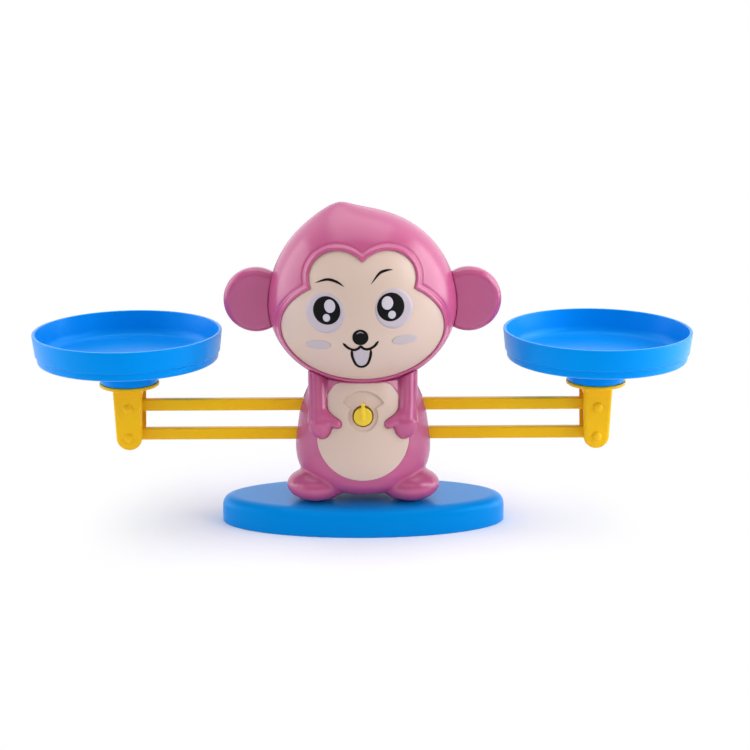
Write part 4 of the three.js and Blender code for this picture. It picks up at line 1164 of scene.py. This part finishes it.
class SCALE_OT_pins(bpy.types.Operator):
    """Builds the riveted pins of the holders"""
    bl_idname = "scale.pins"
    bl_label = "Pins"

    def execute(self, context):
        b = context.scene.scale_balance
        plastic = material_of("yellow")
        tree = fastener_tree("Pin", PIN_HEAD_RADIUS, 0.0, PIN_DOME, PIN_RADIUS, True, plastic)
        for word, side in SIDES:
            points = [(side * b.reach, -PIN_LENGTH / 2, z) for z in (b.upper_z, b.lower_z)]
            values = {"Shank length": PIN_LENGTH, "Turn": HEAD_TO_FRONT}
            pins = grown("pins_" + word, points, tree, values, plastic)
            place(pins, "carrier_" + word, ["pin_upper_" + word, "pin_lower_" + word])
        return {"FINISHED"}


class SCALE_OT_screws(bpy.types.Operator):
    """Builds the screws of the body, the head and the base"""
    bl_idname = "scale.screws"
    bl_label = "Screws"

    def execute(self, context):
        steel = material_of("steel")
        tree = fastener_tree("Screw", SCREW_HEAD_RADIUS, SCREW_HEAD_LIFT, SCREW_DOME, SCREW_RADIUS,
                             False, steel)
        behind, below = SCREW_SHELF + SCREW_PLAY, SCREW_SHELF - SCREW_PLAY
        groups = (("body", [(x, behind, z) for x, z in BODY_SCREWS], HEAD_TO_REAR),
                  ("head", [(x, behind, z) for x, z in HEAD_SCREWS], HEAD_TO_REAR),
                  ("base", [(x, y, below) for x, y in BASE_SCREWS], HEAD_DOWN))
        for word, points, turn in groups:
            values = {"Shank length": SCREW_LENGTH, "Turn": turn}
            screws = grown("screws_" + word, points, tree, values, steel)
            nodes = ["%s_screw_%d" % (word, i + 1) for i in range(len(points))]
            place(screws, "stand", nodes)
        return {"FINISHED"}


class SCALE_OT_inside(bpy.types.Operator):
    """Gives the plain parts inside the figure their materials"""
    bl_idname = "scale.inside"
    bl_label = "Parts inside"

    def execute(self, context):
        for node, key in (("lower_axle", "steel"), ("trim_weight", "steel"), ("neck_spool", "pink")):
            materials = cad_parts[node].data.materials
            materials.clear()
            materials.append(material_of(key))
        return {"FINISHED"}


# Stage, in metres

FLOOR_HALF = 6.0
FLOOR_WHITE = "#F9F9FD"
FLOOR_ROUGH = (0.75, 0.85)
SHADOW_FULL, SHADOW_GONE = 0.07, 0.15
ROOM_WHITE = "#F2F4F8"
ROOM_STRENGTH = 0.40
# Gloss mirrors a dark room in front and a bright backdrop behind: where one turns into the other along Y,
# and how strong each is
MIRROR_FROM, MIRROR_TO = -0.2, 0.4
MIRROR_ROOM, MIRROR_BACKDROP = 0.18, 1.6
PURE_WHITE = (1, 1, 1, 1)
LIGHTS_AIM = (0, 0, 0.09)
# Place, width, height and share of the key power of each light
LIGHTS = {
    "left_box": ((-0.95, 0.05, 0.36), 0.75, 0.95, 0.58),
    "right_box": ((0.95, 0.02, 0.42), 0.7, 1.0, 0.95),
    "right_strip": ((0.80, -0.45, 0.55), 0.4, 0.5, 0.3),
    "left_strip": ((-0.80, -0.50, 0.34), 0.12, 0.6, 0.08),
    "top_box": ((0, 0.05, 1.15), 1.0, 0.8, 0.5),
    "front_fill": ((-0.1, -1.0, 0.9), 1.0, 0.5, 0.15),
}
CAMERA_AIM = mm(6.15, 0, 76.62)
CAMERA_ROLL = radians(-0.14)
SENSOR_WIDTH = 36
CLIP_NEAR, CLIP_FAR = 0.01, 50


def turned_to(start, aim):
    """Turn of a light or camera at a place that looks at an aim."""
    return (Vector(aim) - Vector(start)).to_track_quat("-Z", "Y").to_matrix().to_4x4()


def soft_light(name, spot, width, height, watts):
    """Rectangular light that faces the scale."""
    data = bpy.data.lights.new(name, "AREA")
    data.shape = "RECTANGLE"
    data.size = width
    data.size_y = height
    data.energy = watts
    lamp = bpy.data.objects.new(name, data)
    lamp.location = spot
    lamp.rotation_euler = turned_to(spot, LIGHTS_AIM).to_euler()
    bpy.context.scene.collection.objects.link(lamp)


def floor_paper():
    """Matt paper that takes the shadow near the part and fades to plain white away from it."""
    material, tree = new_material("Studio floor paper")
    where = add(tree, "ShaderNodeTexCoord", (-6, 0)).outputs["Object"]
    tooth = add(tree, "ShaderNodeTexNoise", (-5, 0), values={"Scale": 1 / PAPER_TOOTH},
                links={"Vector": where})
    dull = add(tree, "ShaderNodeMapRange", (-4, 0),
               values={"To Min": FLOOR_ROUGH[0], "To Max": FLOOR_ROUGH[1]},
               links={"Value": tooth.outputs["Fac"]})
    paper = add(tree, "ShaderNodeBsdfPrincipled", (-3, 0),
                values={"Base Color": linear(FLOOR_WHITE), "Specular IOR Level": 0.0},
                links={"Roughness": dull.outputs["Result"]})
    path = add(tree, "ShaderNodeLightPath", (-5, -1))
    white = add(tree, "ShaderNodeEmission", (-3, -1), values={"Color": PURE_WHITE, "Strength": 1.0})
    reach = add(tree, "ShaderNodeVectorMath", (-5, 1), {"operation": "LENGTH"}, links={0: where})
    fade = add(tree, "ShaderNodeMapRange", (-4, 1), {"interpolation_type": "SMOOTHSTEP"},
               {"From Min": SHADOW_FULL, "From Max": SHADOW_GONE}, {"Value": reach.outputs["Value"]})
    seen = add(tree, "ShaderNodeMath", (-3, 1), {"operation": "MULTIPLY"},
               links={0: fade.outputs["Result"], 1: path.outputs["Is Camera Ray"]})
    blend = add(tree, "ShaderNodeMixShader", (-2, 0),
                links={0: seen.outputs[0], 1: paper.outputs["BSDF"], 2: white.outputs["Emission"]})
    add(tree, "ShaderNodeOutputMaterial", (-1, 0), links={"Surface": blend.outputs["Shader"]})
    return material


def studio_world():
    """White backdrop to the camera, a soft room to matt surfaces and a bright wall behind to glossy ones."""
    world = bpy.data.worlds.new("Studio")
    world.use_nodes = True
    tree = world.node_tree
    tree.nodes.clear()
    path = add(tree, "ShaderNodeLightPath", (-4, 0))
    room = add(tree, "ShaderNodeBackground", (-3, 0),
               values={"Color": linear(ROOM_WHITE), "Strength": ROOM_STRENGTH})
    way = add(tree, "ShaderNodeTexCoord", (-6, -1))
    depth = add(tree, "ShaderNodeSeparateXYZ", (-5, -1), links={0: way.outputs["Generated"]})
    behind = add(tree, "ShaderNodeMapRange", (-4, -1),
                 values={"From Min": MIRROR_FROM, "From Max": MIRROR_TO,
                         "To Min": MIRROR_ROOM, "To Max": MIRROR_BACKDROP},
                 links={"Value": depth.outputs["Y"]})
    mirrored = add(tree, "ShaderNodeBackground", (-3, -1), values={"Color": linear(ROOM_WHITE)},
                   links={"Strength": behind.outputs["Result"]})
    white = add(tree, "ShaderNodeBackground", (-3, -2), values={"Color": PURE_WHITE, "Strength": 1.0})
    lit = add(tree, "ShaderNodeMixShader", (-2, 0),
              links={0: path.outputs["Is Glossy Ray"], 1: room.outputs[0], 2: mirrored.outputs[0]})
    seen = add(tree, "ShaderNodeMixShader", (-1, 0),
               links={0: path.outputs["Is Camera Ray"], 1: lit.outputs[0], 2: white.outputs[0]})
    add(tree, "ShaderNodeOutputWorld", (0, 0), links={"Surface": seen.outputs[0]})
    return world


class SCALE_OT_stage(bpy.types.Operator):
    """Builds the floor, the lights, the backdrop and the camera"""
    bl_idname = "scale.stage"
    bl_label = "Stage"

    def execute(self, context):
        s = context.scene.scale_stage
        corners = [(x * FLOOR_HALF, y * FLOOR_HALF, 0) for x, y in ((-1, -1), (1, -1), (1, 1), (-1, 1))]
        floor = mesh_object("floor", corners, [(0, 1, 2, 3)], floor_paper())
        context.scene.world = studio_world()
        for name, (spot, width, height, share) in LIGHTS.items():
            soft_light(name, spot, width, height, s.key * share)
        data = bpy.data.cameras.new("Camera")
        data.lens = s.lens
        data.sensor_width = SENSOR_WIDTH
        data.clip_start = CLIP_NEAR
        data.clip_end = CLIP_FAR
        camera = bpy.data.objects.new("Camera", data)
        camera.location = (0, -s.camera_distance, s.camera_z)
        turn = turned_to(camera.location, CAMERA_AIM) @ Matrix.Rotation(CAMERA_ROLL, 4, "Z")
        camera.rotation_euler = turn.to_euler()
        context.scene.collection.objects.link(camera)
        context.scene.camera = camera
        context.scene.view_settings.view_transform = "Standard"
        return {"FINISHED"}


class SCALE_PT_panel(bpy.types.Panel):
    """Settings of the scale and the steps that build it"""
    bl_label = "Balance scale"
    bl_idname = "SCALE_PT_panel"
    bl_space_type = "VIEW_3D"
    bl_region_type = "UI"
    bl_category = "Balance scale"

    def draw(self, context):
        for group in SETTINGS:
            box = self.layout.box()
            settings = getattr(context.scene, group)
            for key in settings.__annotations__:
                box.prop(settings, key)
        for step in STEPS:
            self.layout.operator(step.bl_idname)


SETTINGS = {
    "scale_colours": ScaleColourSettings,
    "scale_head": ScaleHeadSettings,
    "scale_body": ScaleBodySettings,
    "scale_balance": ScaleBalanceSettings,
    "scale_stage": ScaleStageSettings,
}
STEPS = (SCALE_OT_base, SCALE_OT_beams, SCALE_OT_holders, SCALE_OT_pans, SCALE_OT_body, SCALE_OT_belly,
         SCALE_OT_knob, SCALE_OT_head, SCALE_OT_face, SCALE_OT_ears, SCALE_OT_print, SCALE_OT_pins,
         SCALE_OT_screws, SCALE_OT_inside, SCALE_OT_stage)
CLASSES = (*SETTINGS.values(), *STEPS, SCALE_PT_panel)


def register():
    for cls in CLASSES:
        bpy.utils.register_class(cls)
    for name, group in SETTINGS.items():
        setattr(bpy.types.Scene, name, bpy.props.PointerProperty(type=group))


def unregister():
    for name in SETTINGS:
        delattr(bpy.types.Scene, name)
    for cls in reversed(CLASSES):
        bpy.utils.unregister_class(cls)


def main():
    register()
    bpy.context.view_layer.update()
    bpy.ops.scale.base()
    bpy.ops.scale.beams()
    bpy.ops.scale.holders()
    bpy.ops.scale.pans()
    bpy.ops.scale.body()
    bpy.ops.scale.belly()
    bpy.ops.scale.knob()
    bpy.ops.scale.head()
    bpy.ops.scale.face()
    bpy.ops.scale.ears()
    bpy.ops.scale.face_print()
    bpy.ops.scale.pins()
    bpy.ops.scale.screws()
    bpy.ops.scale.inside()
    bpy.ops.scale.stage()


if __name__ == "__main__":
    main()
